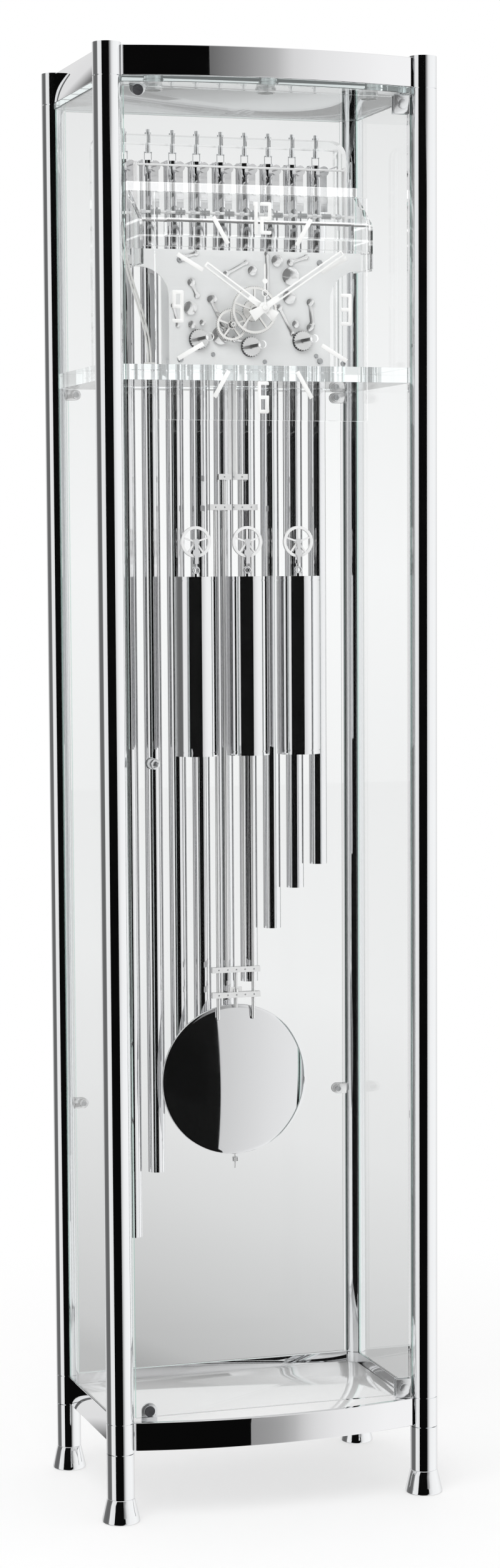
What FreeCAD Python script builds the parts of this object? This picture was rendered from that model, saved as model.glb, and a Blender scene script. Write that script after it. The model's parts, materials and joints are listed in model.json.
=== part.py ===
import FreeCAD
import Part
import Sketcher
import math
import os

# A free-standing floor clock in a chrome and glass case.
# X runs to the right, Y to the back and Z up, in millimetres.
# The origin is on the floor, under the middle of the whole clock.
# Every size below is written once. All other places follow from these.

# Driving sizes: alias, value, what it is
LENGTHS = (
    # Case frame
    ("case_width", 442.0, "post axis to post axis, left to right"),
    ("case_depth", 282.0, "post axis to post axis, front to back"),
    ("case_height", 1980.0, "floor to the tops of the posts"),
    ("post_radius", 19.0, "front posts, sleeves and legs"),
    ("rear_post_radius", 17.0, "rear posts, sleeves and legs"),
    ("post_wall", 2.0, "wall of a post tube"),
    ("leg_wall", 5.0, "wall of a leg tube"),
    ("low_sleeve_length", 42.0, "lower sleeve, joint to joint"),
    ("leg_length", 62.0, "foot to the joint above the leg"),
    ("top_sleeve_length", 43.0, "upper sleeve, joint to top"),
    ("joint_groove", 1.0, "height of the groove that shows at a joint"),
    ("spigot_length", 14.0, "how far a spigot goes into a tube"),
    ("slip_fit", 0.1, "clearance of a spigot or stud in its bore"),
    ("seat_gap", 0.3, "gap between a loose piece and its seat"),
    ("cut_overrun", 1.0, "how far a cutter passes the face it cuts"),
    # Feet
    ("foot_height", 33.0, "floor to the underside of a leg"),
    ("foot_radius", 26.0, "front foot at the floor"),
    ("rear_foot_radius", 23.5, "rear foot at the floor"),
    ("foot_rim", 3.0, "straight rim of a foot"),
    ("foot_stud_length", 20.0, "stud of a foot inside its leg"),
    # Rails
    ("rail_height", 39.0, "height of every rail"),
    ("rail_thickness", 8.0, "thickness of every rail"),
    ("bow_reach", 37.0, "front face of a bowed rail ahead of the post axes, in the middle"),
    ("bow_end_reach", 10.5, "the same at the ends of the bow"),
    ("bow_span", 400.0, "width between the ends of the bow"),
    # Top panel and floor
    ("panel_drop", 50.0, "underside of the glass top below the tops of the posts"),
    ("panel_thickness", 8.0, "thickness of the glass top"),
    ("panel_inset", 3.0, "edge of the glass top behind the face of the rails"),
    ("floor_drop", 15.0, "upper face of the floor plate below the tops of the lower rails"),
    ("floor_thickness", 6.0, "thickness of the floor plate"),
    # Glass walls and their clamps
    ("glass_thickness", 6.0, "walls and door"),
    ("glass_gap", 3.0, "glass edge to post"),
    ("clamp_height", 15.0, "height of a post clamp"),
    ("clamp_reach", 20.0, "arm of a post clamp beyond the post"),
    ("clamp_cheek", 3.0, "thickness of one cheek"),
    ("clamp_web", 2.5, "web between the cheeks at the post"),
    ("clamp_screw_radius", 5.5, "screw disc"),
    ("clamp_screw_height", 2.5, "screw disc above its cheek"),
    ("low_clamp_rise", 387.5, "low clamps above the lower rails"),
    # Door
    ("door_end_gap", 4.2, "door glass to the rail below and the panel above"),
    ("hinge_inset", 31.0, "pivot axis of the door inside the post axis"),
    ("hinge_clamp_width", 21.5, "hinge clamp along the glass"),
    ("hinge_clamp_height", 26.0, "hinge clamp up the glass"),
    ("hinge_cheek", 2.4, "cheek of a hinge clamp"),
    ("hinge_overhang", 0.5, "hinge clamp beyond the side edge of the glass"),
    ("hinge_bridge", 2.8, "bridge of a hinge clamp past the end of the glass"),
    ("hinge_disc_radius", 6.5, "screw disc of a hinge clamp"),
    ("hinge_disc_height", 1.4, "screw disc above its cheek"),
    ("pivot_radius", 1.5, "pivot pin of the door"),
    ("pivot_length", 6.0, "pivot pin outside its clamp"),
    ("bracket_width", 12.0, "bracket that carries the lower pivot"),
    ("bracket_front", 3.0, "bracket ahead of the pivot axis"),
    ("bracket_back", 14.0, "bracket behind the pivot axis"),
    ("bracket_gap", 0.8, "bracket below the hinge clamp"),
    ("bush_radius", 6.0, "bush of the upper pivot in the glass top"),
    ("catch_inset", 21.0, "catch plate from the free edge of the door"),
    ("catch_radius", 11.0, "rounded end of a catch plate"),
    ("catch_thickness", 3.5, "thickness of a catch plate"),
    ("catch_rise", 26.0, "round centre of the lower catch above the floor plate"),
    ("catch_drop", 4.5, "round centre of the upper catch below the top panel"),
    ("magnet_radius", 7.5, "magnet on a catch plate"),
    ("magnet_height", 1.5, "magnet above its plate"),
    ("magnet_margin", 0.7, "magnet to the seat of its catch"),
    ("knob_inset", 30.4, "knob from the free edge of the door"),
    ("knob_rise", 898.0, "knob above the lower rails"),
    ("knob_radius", 7.3, "round knob"),
    ("knob_length", 15.0, "knob ahead of the glass"),
    ("knob_recess_radius", 3.2, "round recess in the knob"),
    ("knob_recess_depth", 7.0, "depth of that recess"),
    ("knob_shank_radius", 3.0, "shank through the glass"),
    ("knob_washer_radius", 8.0, "washer behind the glass"),
    ("knob_washer_thickness", 2.0, "thickness of that washer"),
    # Lamps under the glass top
    ("lamp_radius", 12.5, "round lamp"),
    ("lamp_flange_radius", 14.0, "flange of a lamp on the glass top"),
    ("lamp_flange_height", 1.5, "height of that flange"),
    ("lamp_drop", 4.0, "lamp below the panel"),
    ("lamp_rise", 10.0, "lamp above the panel"),
    ("lamp_wall", 2.0, "wall of a lamp"),
    ("lamp_recess", 6.0, "depth of a lamp's mouth"),
    ("lamp_left", 148.7, "left lamp left of the middle"),
    ("lamp_middle", 3.9, "middle lamp right of the middle"),
    ("lamp_right", 155.4, "right lamp right of the middle"),
    ("lamp_setback", 33.8, "side lamps behind the post axes"),
    ("lamp_middle_setback", 18.6, "middle lamp behind the post axes"),
    # Seat shelf
    ("shelf_drop", 383.7, "underside of the seat shelf below the glass top"),
    ("shelf_thickness", 20.7, "thickness of the seat shelf"),
    ("shelf_side_gap", 1.0, "shelf to the glass walls"),
    ("shelf_setback", 33.0, "front edge of the shelf behind the post axes"),
    ("bell_slot_half", 160.0, "half the width of the slot for the bells"),
    ("bell_slot_depth", 34.0, "front to back of that slot"),
    ("pendulum_slot_half", 40.0, "half the width of the slot for the pendulum"),
    ("pendulum_slot_depth", 16.0, "front to back of that slot"),
    ("cable_hole_radius", 4.0, "hole for a cable"),
    # Bells and their rack
    ("bell_setback", 213.0, "bells behind the post axes"),
    ("bell_pitch", 35.0, "bell to bell"),
    ("bell_radius", 12.7, "outside of a bell tube"),
    ("bell_wall", 1.2, "wall of a bell tube"),
    ("bell_drop", 35.0, "tops of the bells below the top of the rack"),
    ("bell_floor_gap", 225.0, "longest bell above the floor plate"),
    ("pin_drop", 6.0, "cross pin below the top of a bell"),
    ("pin_radius", 1.0, "cross pin of a bell"),
    ("pin_overhang", 1.2, "cross pin outside the bell"),
    ("rack_outer_half", 182.0, "half the outside width of the bell rack"),
    ("rack_leg", 12.0, "thickness of a leg and of the bar of the rack"),
    ("rack_depth", 24.0, "front to back of the rack"),
    ("rack_height", 325.0, "rack above the shelf"),
    ("rack_corner", 22.0, "outside corner of the rack"),
    ("stud_radius", 2.5, "hanger stud"),
    ("stud_rise", 8.0, "hanger stud above the rack"),
    ("stud_nut_radius", 4.5, "nut on a hanger stud"),
    ("stud_nut_height", 3.6, "height of that nut"),
    ("fork_radius", 3.2, "neck under the rack that holds the wire"),
    ("fork_length", 12.0, "length of that neck"),
    ("fork_spread", 5.0, "wires of a hanger from its axis"),
    ("loop_wire_radius", 0.6, "wire of a hanger"),
    # Hammers
    ("hammer_setback", 119.0, "hammer axle behind the post axes"),
    ("hammer_axle_rise", 208.0, "hammer axle above the shelf"),
    ("hammer_axle_radius", 2.0, "hammer axle"),
    ("hammer_axle_half", 168.0, "half the length of the hammer axle"),
    ("running_fit", 0.05, "radial clearance of a running fit"),
    ("hammer_hub_radius", 3.6, "hub of a hammer"),
    ("hammer_hub_width", 6.0, "width of a hub"),
    ("hammer_wire_radius", 1.0, "wire of a hammer"),
    ("hammer_rise", 71.0, "head above the axle"),
    ("hammer_head_start", 56.0, "front face of the head behind the axle"),
    ("hammer_head_radius", 7.0, "round head"),
    ("hammer_head_length", 14.0, "head, front to back"),
    ("hammer_strip_width", 10.0, "strip that hangs from the head"),
    ("hammer_strip_thickness", 1.0, "thickness of that strip"),
    ("hammer_strip_setback", 60.0, "strip behind the axle"),
    ("hammer_strip_length", 58.0, "strip below the head"),
    ("hammer_block_size", 10.0, "block on the strip, wide and tall"),
    ("hammer_block_depth", 4.0, "block, front to back"),
    ("hammer_block_rise", 11.0, "block above the lower end of the strip"),
    ("hammer_tail_length", 17.0, "tail of a hammer below the axle"),
    ("hammer_tail_width", 3.0, "width of that tail"),
    ("stop_rod_radius", 1.5, "stop rod ahead of the wires"),
    ("stop_rod_rise", 65.0, "stop rod above the axle"),
    ("stop_rod_gap", 0.4, "stop rod to the wires"),
    ("upright_half", 150.0, "uprights of the axle from the middle"),
    ("upright_thickness", 3.0, "thickness of an upright"),
    ("upright_depth", 10.5, "front to back of an upright"),
    ("upright_margin", 4.0, "upright past the stop rod"),
    ("upright_foot", 12.0, "height of the bar that joins the uprights"),
    # Movement plates
    ("front_plate_setback", 81.0, "face of the front plate behind the post axes"),
    ("plate_thickness", 3.0, "both plates"),
    ("plate_space", 52.0, "between the plates"),
    ("front_plate_half", 115.0, "half the width of the front plate"),
    ("shoulder_half", 160.0, "half the width of the plate's shoulders"),
    ("shoulder_rise", 92.0, "start of the shoulder curves above the shelf"),
    ("shoulder_radius", 41.0, "radius of the shoulder curves"),
    ("front_plate_height", 157.0, "front plate above the shelf"),
    ("back_plate_half", 110.0, "half the width of the back plate"),
    ("back_plate_height", 153.0, "back plate above the shelf"),
    ("pillar_radius", 4.0, "pillar between the plates"),
    ("pillar_inset", 10.0, "pillar from the edges of the back plate"),
    ("cable_post_radius", 2.5, "post that holds the end of a cable"),
    ("cable_post_drop", 20.0, "that post below its drum"),
    # Hood and dial
    ("sheet_thickness", 5.0, "acrylic of the hood and the dial"),
    ("hood_lip_setback", 113.0, "rear face of the hood's lip behind the post axes"),
    ("hood_lip_height", 12.0, "height of the lip"),
    ("hood_rise", 249.0, "top of the hood above the shelf"),
    ("hood_front_setback", 45.0, "front face of the hood behind the post axes"),
    ("hood_shoulder_rise", 192.0, "bend over the hood's front above the shelf"),
    ("hood_cheek_rise", 133.0, "underside of the cheeks above the shelf"),
    ("hood_block_width", 10.0, "block outside a cheek"),
    ("hood_block_depth", 15.0, "that block, front to back"),
    ("carrier_half", 132.0, "half the width of the bar that carries the dial"),
    ("carrier_rise", 170.0, "underside of that bar above the shelf"),
    ("carrier_height", 23.0, "height of that bar"),
    ("dial_setback", 25.0, "face of the dial behind the post axes"),
    ("dial_size", 300.0, "square dial plate"),
    ("dial_rise", 76.0, "middle of the dial above the shelf"),
    ("dial_hole_radius", 7.0, "hole for the hands"),
    ("winding_hole_radius", 5.0, "hole for the winding key"),
    ("marker_thickness", 1.0, "numerals and batons"),
    ("marker_inner", 97.0, "inner end of a baton"),
    ("marker_outer", 138.0, "outer end of a baton"),
    ("marker_width", 6.0, "width of a baton"),
    ("numeral_radius", 119.0, "middle of a numeral from the middle of the dial"),
    ("numeral_height", 43.0, "height of a numeral"),
    ("numeral_width", 16.0, "width of a single numeral"),
    ("numeral_stroke", 5.0, "stroke of a numeral"),
    ("numeral_gap", 3.2, "between the 1 and the 2"),
    ("one_width", 6.5, "width of the 1"),
    # Hands
    ("hour_hand_length", 99.0, "middle to tip"),
    ("minute_hand_length", 135.0, "middle to tip"),
    ("seconds_hand_length", 58.0, "middle to tip"),
    ("hand_width", 8.5, "width of an open hand"),
    ("hand_line", 2.4, "line of an open hand"),
    ("hand_solid", 25.0, "solid part of a hand from the middle"),
    ("hand_tail", 21.0, "tail of a hand"),
    ("hand_tail_width", 16.0, "width of the tail's end"),
    ("hand_hub_radius", 7.5, "hub of a hand"),
    ("hand_thickness", 1.5, "hour and minute hands"),
    ("seconds_thickness", 1.0, "seconds hand"),
    ("hour_hand_reach", 5.0, "face of the hour hand ahead of the dial"),
    ("hand_step", 3.0, "from hand to hand"),
    ("seconds_disc_radius", 3.5, "disc on the seconds hand"),
    ("seconds_disc_place", 35.0, "that disc from the middle"),
    ("seconds_ring_radius", 4.6, "ring on the seconds hand"),
    ("seconds_ring_place", 19.0, "that ring from the middle"),
    ("seconds_bar_width", 2.0, "bar of the seconds hand"),
    # Motion work and escapement
    ("tooth_module", 0.8, "module of the wheels behind the dial"),
    ("wheel_thickness", 2.5, "thickness of a wheel"),
    ("hour_wheel_setback", 61.0, "hour wheel behind the post axes"),
    ("minute_wheel_setback", 69.0, "minute wheel behind the post axes"),
    ("seconds_arbor_radius", 1.0, "innermost arbor"),
    ("minute_pipe_radius", 2.2, "outside of the minute pipe"),
    ("hour_pipe_radius", 4.2, "outside of the hour pipe"),
    ("pipe_fit", 0.12, "radial clearance between the pipes"),
    ("pipe_end", 7.0, "minute pipe behind the front plate"),
    ("minute_stud_radius", 1.6, "stud of the minute wheel"),
    ("rim_width", 3.0, "rim of a wheel inside its teeth"),
    ("spoke_width", 2.6, "spoke of a wheel"),
    ("escape_radius", 18.0, "tips of the escape wheel"),
    ("escape_tooth", 2.6, "depth of its teeth"),
    ("escape_setback", 120.0, "escape wheel behind the post axes"),
    ("pivot_rise", 32.0, "pivot of the pendulum and the anchor above the middle of the dial"),
    ("anchor_arbor_radius", 1.5, "arbor of the anchor"),
    ("anchor_hub_radius", 4.0, "hub of the anchor"),
    ("anchor_clearance", 1.9, "pallets outside the tips of the escape wheel"),
    ("anchor_line", 3.0, "width of the anchor's arms"),
    ("anchor_tail", 6.5, "anchor arbor behind the back plate"),
    ("crutch_width", 5.0, "width of the crutch"),
    ("crutch_thickness", 2.5, "thickness of the crutch"),
    ("crutch_drop", 60.0, "crutch pin below the pivot"),
    ("crutch_pin_radius", 1.2, "crutch pin"),
    # Drums
    ("weight_pitch", 74.0, "weight to weight, and drum to drum"),
    ("weight_setback", 101.0, "weights behind the post axes"),
    ("drum_rise", 37.0, "axes of the side drums above the shelf"),
    ("middle_drum_drop", 9.0, "axis of the middle drum below the others"),
    ("cable_radius", 0.75, "cable"),
    ("cable_turn_radius", 20.5, "centre line of a cable round its drum and pulley"),
    ("drum_width", 25.0, "barrel between its flanges"),
    ("drum_flange_radius", 23.0, "flange of a drum"),
    ("drum_flange_thickness", 1.5, "thickness of that flange"),
    ("drum_arbor_radius", 3.0, "arbor of a drum"),
    ("drum_pivot_radius", 2.0, "rear pivot of a drum"),
    ("winding_reach", 40.5, "front end of a winding arbor behind the front post axes"),
    ("ratchet_radius", 14.0, "ratchet wheel in front of the front plate"),
    ("ratchet_tooth", 2.0, "depth of its teeth"),
    ("ratchet_thickness", 3.5, "thickness of the ratchet wheel"),
    ("ratchet_gap", 2.5, "ratchet wheel to the front plate"),
    # Weights and pulleys
    ("weight_radius", 30.0, "casing of a weight"),
    ("hook_length", 17.5, "lid of a weight below the foot of its stirrup"),
    ("weight_length", 246.0, "casing of a weight"),
    ("weight_lid_groove", 1.0, "groove between casing and lid"),
    ("weight_lid", 5.0, "lid of a weight"),
    ("pulley_drop", 215.3, "pulley axles below the underside of the shelf"),
    ("pulley_rim_radius", 21.4, "outside of a pulley"),
    ("pulley_rim_inner", 17.6, "inside of its rim"),
    ("pulley_width", 5.0, "width of a pulley"),
    ("pulley_groove_gap", 0.6, "cable to its groove"),
    ("pulley_hub_radius", 4.0, "hub of a pulley"),
    ("pulley_axle_radius", 1.5, "axle of a pulley"),
    ("pulley_spoke_width", 2.2, "spoke of a pulley"),
    ("pulley_spoke_depth", 3.0, "spoke, front to back"),
    ("stirrup_gap", 1.0, "stirrup cheek to pulley"),
    ("stirrup_cheek", 1.6, "thickness of a stirrup cheek"),
    ("stirrup_width", 5.0, "width of a stirrup strap"),
    ("stirrup_knuckle_radius", 5.2, "round knuckles of the stirrup"),
    ("stirrup_length", 30.0, "axle to the foot of the stirrup"),
    ("stirrup_foot", 5.0, "height of the foot of the stirrup"),
    ("hook_radius", 1.6, "hook between stirrup and weight"),
    ("hook_ring_radius", 4.4, "ring of that hook"),
    ("eye_radius", 5.0, "screwed eye on top of a weight"),
    ("eye_height", 4.0, "height of that eye's base"),
    # Pendulum
    ("pendulum_setback", 166.0, "pendulum behind the post axes"),
    ("leader_width", 12.0, "strip at the top of the pendulum"),
    ("leader_thickness", 1.6, "thickness of that strip"),
    ("pendulum_boss_radius", 6.0, "boss on the pivot"),
    ("pendulum_boss_width", 7.0, "boss, front to back"),
    ("pendulum_pin_radius", 2.0, "pivot pin of the pendulum"),
    ("grid_bar_size", 8.0, "bars of the gridiron, tall and deep"),
    ("grid_short_half", 21.4, "half the uppermost bar"),
    ("grid_long_half", 35.5, "half the other bars"),
    ("high_bar_drop", 253.5, "uppermost bar below the pivot"),
    ("high_bar_spacing", 42.0, "uppermost bar to the second bar"),
    ("low_bar_spacing", 36.0, "third bar to the lowest bar"),
    ("bar_gap", 14.5, "lowest bar above the rim of the bob"),
    ("inner_rod_place", 12.8, "inner rods from the middle"),
    ("outer_rod_place", 26.0, "outer rods from the middle"),
    ("grid_rod_radius", 2.5, "rods of the gridiron"),
    ("wing_nut_radius", 4.5, "wing nut above the lowest bar"),
    ("wing_nut_height", 4.0, "height of that nut"),
    ("wing_span", 9.0, "wing from the axis"),
    ("wing_height", 7.0, "height of a wing"),
    ("wing_thickness", 1.6, "thickness of a wing"),
    ("hook_rise", 88.5, "hooks in the bob above its middle"),
    ("bob_radius", 107.5, "round bob"),
    ("bob_depth", 18.0, "bob, front to back"),
    ("bob_rim", 4.0, "rim of the bob"),
    ("middle_rod_lap", 4.0, "middle rod ahead of the rim of the bob"),
    ("rating_length", 128.0, "middle of the bob above the end of the rating rod"),
    ("rating_rod_radius", 1.3, "threaded rating rod under the bob"),
    ("rating_rod_depth", 30.0, "rating rod inside the bob"),
    ("bob_offset", 8.0, "bob behind the rods"),
    ("pendulum_clearance", 322.0, "end of the rating rod above the floor plate"),
    ("rating_nut_radius", 4.0, "rating nut"),
    ("rating_nut_height", 6.0, "height of the rating nut"),
    ("rating_nut_rise", 10.0, "rating nut above the end of its rod"),
    # Suspension cock
    ("cock_half", 14.0, "half the width of the foot of the cock"),
    ("cock_rise", 12.0, "foot of the cock above the pivot"),
    ("cock_height", 19.0, "height of the foot"),
    ("cock_arm_half", 5.0, "half the width of the arm"),
    ("cock_arm_height", 10.0, "height of the arm"),
    ("cock_lug", 3.0, "thickness of a lug"),
    ("cock_lug_margin", 4.0, "lug below the pivot"),
    # Lamp lead
    ("lead_radius", 1.5, "each wire of the lamp lead"),
    ("lead_pair_gap", 4.0, "wire to wire"),
    ("plug_width", 18.0, "plug on the shelf"),
    ("plug_depth", 12.0, "plug, front to back"),
    ("plug_height", 9.0, "height of the plug"),
)

# Counts and angles
BELLS = 9
MINUTE_PINION_TEETH = 36
MINUTE_WHEEL_TEETH = 54
HOUR_PINION_TEETH = 10
HOUR_WHEEL_TEETH = 80
ESCAPE_TEETH = 30
RATCHET_TEETH = 24
PULLEY_SPOKES = 5
WHEEL_SPOKES = 5
HOUR_HAND_DEGREES = 304.7
MINUTE_HAND_DEGREES = 56.0
MINUTE_WHEEL_DEGREES = 212.7
PALLET_DEGREES = 52.0

# Shares of a tooth: height over and under the pitch circle in modules,
# and half widths at the tip and at the root in tooth spacings
TIP_HEIGHT_SHARE = 0.7
ROOT_DEPTH_SHARE = 0.95
TIP_HALF_SHARE = 0.12
ROOT_HALF_SHARE = 0.26


class Size:
    """A length with the sheet formula that it comes from."""

    def __init__(self, value, formula):
        self.value = float(value)
        self.formula = formula

    def __float__(self):
        return self.value

    def __add__(self, other):
        other = as_size(other)
        return Size(self.value + other.value, f"({self.formula} + {other.formula})")

    def __radd__(self, other):
        return as_size(other) + self

    def __sub__(self, other):
        other = as_size(other)
        return Size(self.value - other.value, f"({self.formula} - {other.formula})")

    def __rsub__(self, other):
        return as_size(other) - self

    def __mul__(self, other):
        other = as_size(other)
        return Size(self.value * other.value, f"({self.formula} * {other.formula})")

    def __rmul__(self, other):
        return as_size(other) * self

    def __truediv__(self, other):
        other = as_size(other)
        return Size(self.value / other.value, f"({self.formula} / {other.formula})")

    def __neg__(self):
        return ZERO - self


ZERO = Size(0, "0")


def as_size(value):
    """Return value as a Size, whether it is one or a plain number."""
    if isinstance(value, Size):
        return value
    return Size(value, repr(float(value)))


def cosine(degrees):
    """Return the cosine of a fixed angle as a factor."""
    return math.cos(math.radians(degrees))


def sine(degrees):
    """Return the sine of a fixed angle as a factor."""
    return math.sin(math.radians(degrees))


# Document and sheet
DOC = FreeCAD.newDocument("LongcaseClock")
SHEET = DOC.addObject("Spreadsheet::Sheet", "Sizes")
SUB_PARTS = []


class SizeBook:
    """The sheet's sizes by their aliases."""

    def __init__(self, rows):
        for row, (alias, value, note) in enumerate(rows, start=1):
            SHEET.set(f"A{row}", note)
            SHEET.set(f"B{row}", str(value))
            SHEET.setAlias(f"B{row}", alias)
            setattr(self, alias, Size(value, f"Sizes.{alias}"))


S = SizeBook(LENGTHS)
DOC.recompute()


# Helpers for documents, places and primitives
def bind(item, target, value):
    """Bind one property of a document object to the sheet."""
    item.setExpression(target, as_size(value).formula)


def place(item, x, y, z):
    """Bind the place of a document object."""
    bind(item, "Placement.Base.x", x)
    bind(item, "Placement.Base.y", y)
    bind(item, "Placement.Base.z", z)


def sub_part(item, label):
    """Give a document object its label and list it for export."""
    item.Label = label
    SUB_PARTS.append(item)
    return item


def both(half):
    """Return the range from minus half to plus half."""
    return (-half, half)


def about(centre, width):
    """Return the range of a width about a centre."""
    return (centre - width / 2, centre + width / 2)


def both_about(centre, half):
    """Return the range of a half width to both sides of a centre."""
    return (centre - half, centre + half)


def longer(ends, extra):
    """Return a range made longer at both ends."""
    return (ends[0] - extra, ends[1] + extra)


def box(name, x, y, z):
    """Make a block from its three ranges."""
    item = DOC.addObject("Part::Box", name)
    bind(item, "Length", x[1] - x[0])
    bind(item, "Width", y[1] - y[0])
    bind(item, "Height", z[1] - z[0])
    place(item, x[0], y[0], z[0])
    return item


AXIS_TURNS = {
    "x": FreeCAD.Rotation(FreeCAD.Vector(0, 1, 0), 90),
    "y": FreeCAD.Rotation(FreeCAD.Vector(1, 0, 0), -90),
    "z": FreeCAD.Rotation(),
}


def spot(axis, at, along):
    """Return x, y and z of a point at a place across an axis and along it."""
    if axis == "x":
        return (along, at[0], at[1])
    if axis == "y":
        return (at[0], along, at[1])
    return (at[0], at[1], along)


def rod(name, axis, radius, at, ends):
    """Make a cylinder along an axis, at a place across it, between two ends."""
    item = DOC.addObject("Part::Cylinder", name)
    bind(item, "Radius", radius)
    bind(item, "Height", ends[1] - ends[0])
    item.Placement = FreeCAD.Placement(FreeCAD.Vector(), AXIS_TURNS[axis])
    place(item, *spot(axis, at, ends[0]))
    return item


def cone(name, low_radius, high_radius, at, ends):
    """Make an upright cone between two heights."""
    item = DOC.addObject("Part::Cone", name)
    bind(item, "Radius1", low_radius)
    bind(item, "Radius2", high_radius)
    bind(item, "Height", ends[1] - ends[0])
    place(item, at[0], at[1], ends[0])
    return item


def ball(name, radius, x, y, z):
    """Make a sphere."""
    item = DOC.addObject("Part::Sphere", name)
    bind(item, "Radius", radius)
    place(item, x, y, z)
    return item


def ring(name, axis, radius, wire, centre):
    """Make a round ring about an axis."""
    item = DOC.addObject("Part::Torus", name)
    bind(item, "Radius1", radius)
    bind(item, "Radius2", wire)
    item.Placement = FreeCAD.Placement(FreeCAD.Vector(), AXIS_TURNS[axis])
    place(item, *centre)
    return item


def fuse(name, *pieces):
    """Join touching pieces into one solid."""
    item = DOC.addObject("Part::MultiFuse", name)
    item.Shapes = list(pieces)
    item.Refine = True
    return item


def cut(name, base, *tools):
    """Take one or more tools out of a base."""
    item = DOC.addObject("Part::Cut", name)
    item.Base = base
    item.Tool = tools[0] if len(tools) == 1 else fuse(name + "Tools", *tools)
    return item


def common(name, first, second):
    """Keep what two pieces share."""
    item = DOC.addObject("Part::Common", name)
    item.Base = first
    item.Tool = second
    return item


def group(name, *pieces):
    """Keep separate solids together in one sub-part."""
    item = DOC.addObject("Part::Compound", name)
    item.Links = list(pieces)
    return item


def pipe(name, axis, outer, inner, at, ends):
    """Make a tube along an axis."""
    skin = rod(name + "Skin", axis, outer, at, ends)
    bore = rod(name + "Bore", axis, inner, at, longer(ends, S.cut_overrun))
    return cut(name, skin, bore)


def feature(name, shape):
    """Hold a shape made of curves that no primitive or sketch gives."""
    item = DOC.addObject("Part::Feature", name)
    item.Shape = shape
    return item


class Round:
    """A circle in a sketch."""

    def __init__(self, across, up, radius):
        self.across = across
        self.up = up
        self.radius = radius


def pin_point(sketch, geometry, point, across, up):
    """Bind one point of a sketch to its two distances from the origin."""
    for kind, value in (("DistanceX", across), ("DistanceY", up)):
        value = as_size(value)
        index = sketch.addConstraint(Sketcher.Constraint(kind, -1, 1, geometry, point, value.value))
        sketch.setExpression(f"Constraints[{index}]", value.formula)


def add_circle(sketch, loop):
    """Add one bound circle to a sketch."""
    centre = FreeCAD.Vector(float(loop.across), float(loop.up), 0)
    circle = Part.Circle(centre, FreeCAD.Vector(0, 0, 1), float(loop.radius))
    index = sketch.addGeometry(circle)
    pin_point(sketch, index, 3, loop.across, loop.up)
    radius = sketch.addConstraint(Sketcher.Constraint("Radius", index, float(loop.radius)))
    sketch.setExpression(f"Constraints[{radius}]", as_size(loop.radius).formula)


def add_polygon(sketch, loop):
    """Add one bound closed outline of straight lines to a sketch."""
    corners = [FreeCAD.Vector(float(across), float(up), 0) for across, up in loop]
    lines = []
    for index, corner in enumerate(corners):
        following = corners[(index + 1) % len(corners)]
        lines.append(sketch.addGeometry(Part.LineSegment(corner, following)))
    for index, line in enumerate(lines):
        following = lines[(index + 1) % len(lines)]
        sketch.addConstraint(Sketcher.Constraint("Coincident", line, 2, following, 1))
    for line, (across, up) in zip(lines, loop):
        pin_point(sketch, line, 1, across, up)


def add_sketch(body, role, loops):
    """Draw closed loops on one of a body's own planes."""
    sketch = body.newObject("Sketcher::SketchObject", body.Name + "Sketch")
    plane = next(item for item in body.Origin.OriginFeatures if item.Role == role)
    sketch.AttachmentSupport = [(plane, "")]
    sketch.MapMode = "FlatFace"
    for loop in loops:
        if isinstance(loop, Round):
            add_circle(sketch, loop)
        else:
            add_polygon(sketch, loop)
    return sketch


def padded(name, role, loops, thickness, corner):
    """Make a body with one padded sketch. On the XZ plane it grows to the front."""
    body = DOC.addObject("PartDesign::Body", name)
    sketch = add_sketch(body, role, loops)
    pad = body.newObject("PartDesign::Pad", name + "Pad")
    pad.Profile = sketch
    bind(pad, "Length", thickness)
    body.Tip = pad
    place(body, *corner)
    return body


def revolved(name, profile, corner):
    """Make a body turned about its own upright axis from a profile of radius and height."""
    body = DOC.addObject("PartDesign::Body", name)
    sketch = add_sketch(body, "XZ_Plane", [profile])
    turn = body.newObject("PartDesign::Revolution", name + "Turn")
    turn.Profile = sketch
    axis = next(item for item in body.Origin.OriginFeatures if item.Role == "Z_Axis")
    turn.ReferenceAxis = (axis, [""])
    turn.Angle = 360
    body.Tip = turn
    place(body, *corner)
    return body


def rectangle(across, up):
    """Return the outline of a rectangle from its two ranges."""
    return [(across[0], up[0]), (across[1], up[0]), (across[1], up[1]), (across[0], up[1])]


# Shared planes and lines, all worked out from the sheet
HALF_WIDTH = S.case_width / 2
FRONT = (S.bow_reach - S.rear_foot_radius - S.case_depth) / 2
REAR = FRONT + S.case_depth


def behind(setback):
    """Return the place of a plane that lies behind the front post axes."""
    return FRONT + setback


LEG_JOINT = S.foot_height + S.leg_length
LOWER_JOINT = LEG_JOINT + S.low_sleeve_length
UPPER_JOINT = S.case_height - S.top_sleeve_length
PANEL_UNDERSIDE = S.case_height - S.panel_drop
FLOOR_TOP = LOWER_JOINT - S.floor_drop
LOW_CLAMP_BASE = LOWER_JOINT + S.low_clamp_rise
KNOB_HEIGHT = LOWER_JOINT + S.knob_rise
SHELF_UNDERSIDE = PANEL_UNDERSIDE - S.shelf_drop
SHELF_TOP = SHELF_UNDERSIDE + S.shelf_thickness
RACK_TOP = SHELF_TOP + S.rack_height
BELL_TOP = RACK_TOP - S.bell_drop
HAMMER_HEIGHT = SHELF_TOP + S.hammer_axle_rise
FRONT_PLATE_TOP = SHELF_TOP + S.front_plate_height
BACK_PLATE_TOP = SHELF_TOP + S.back_plate_height
SHOULDER_BASE = SHELF_TOP + S.shoulder_rise
DIAL_HEIGHT = SHELF_TOP + S.dial_rise
PIVOT_HEIGHT = DIAL_HEIGHT + S.pivot_rise
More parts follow.
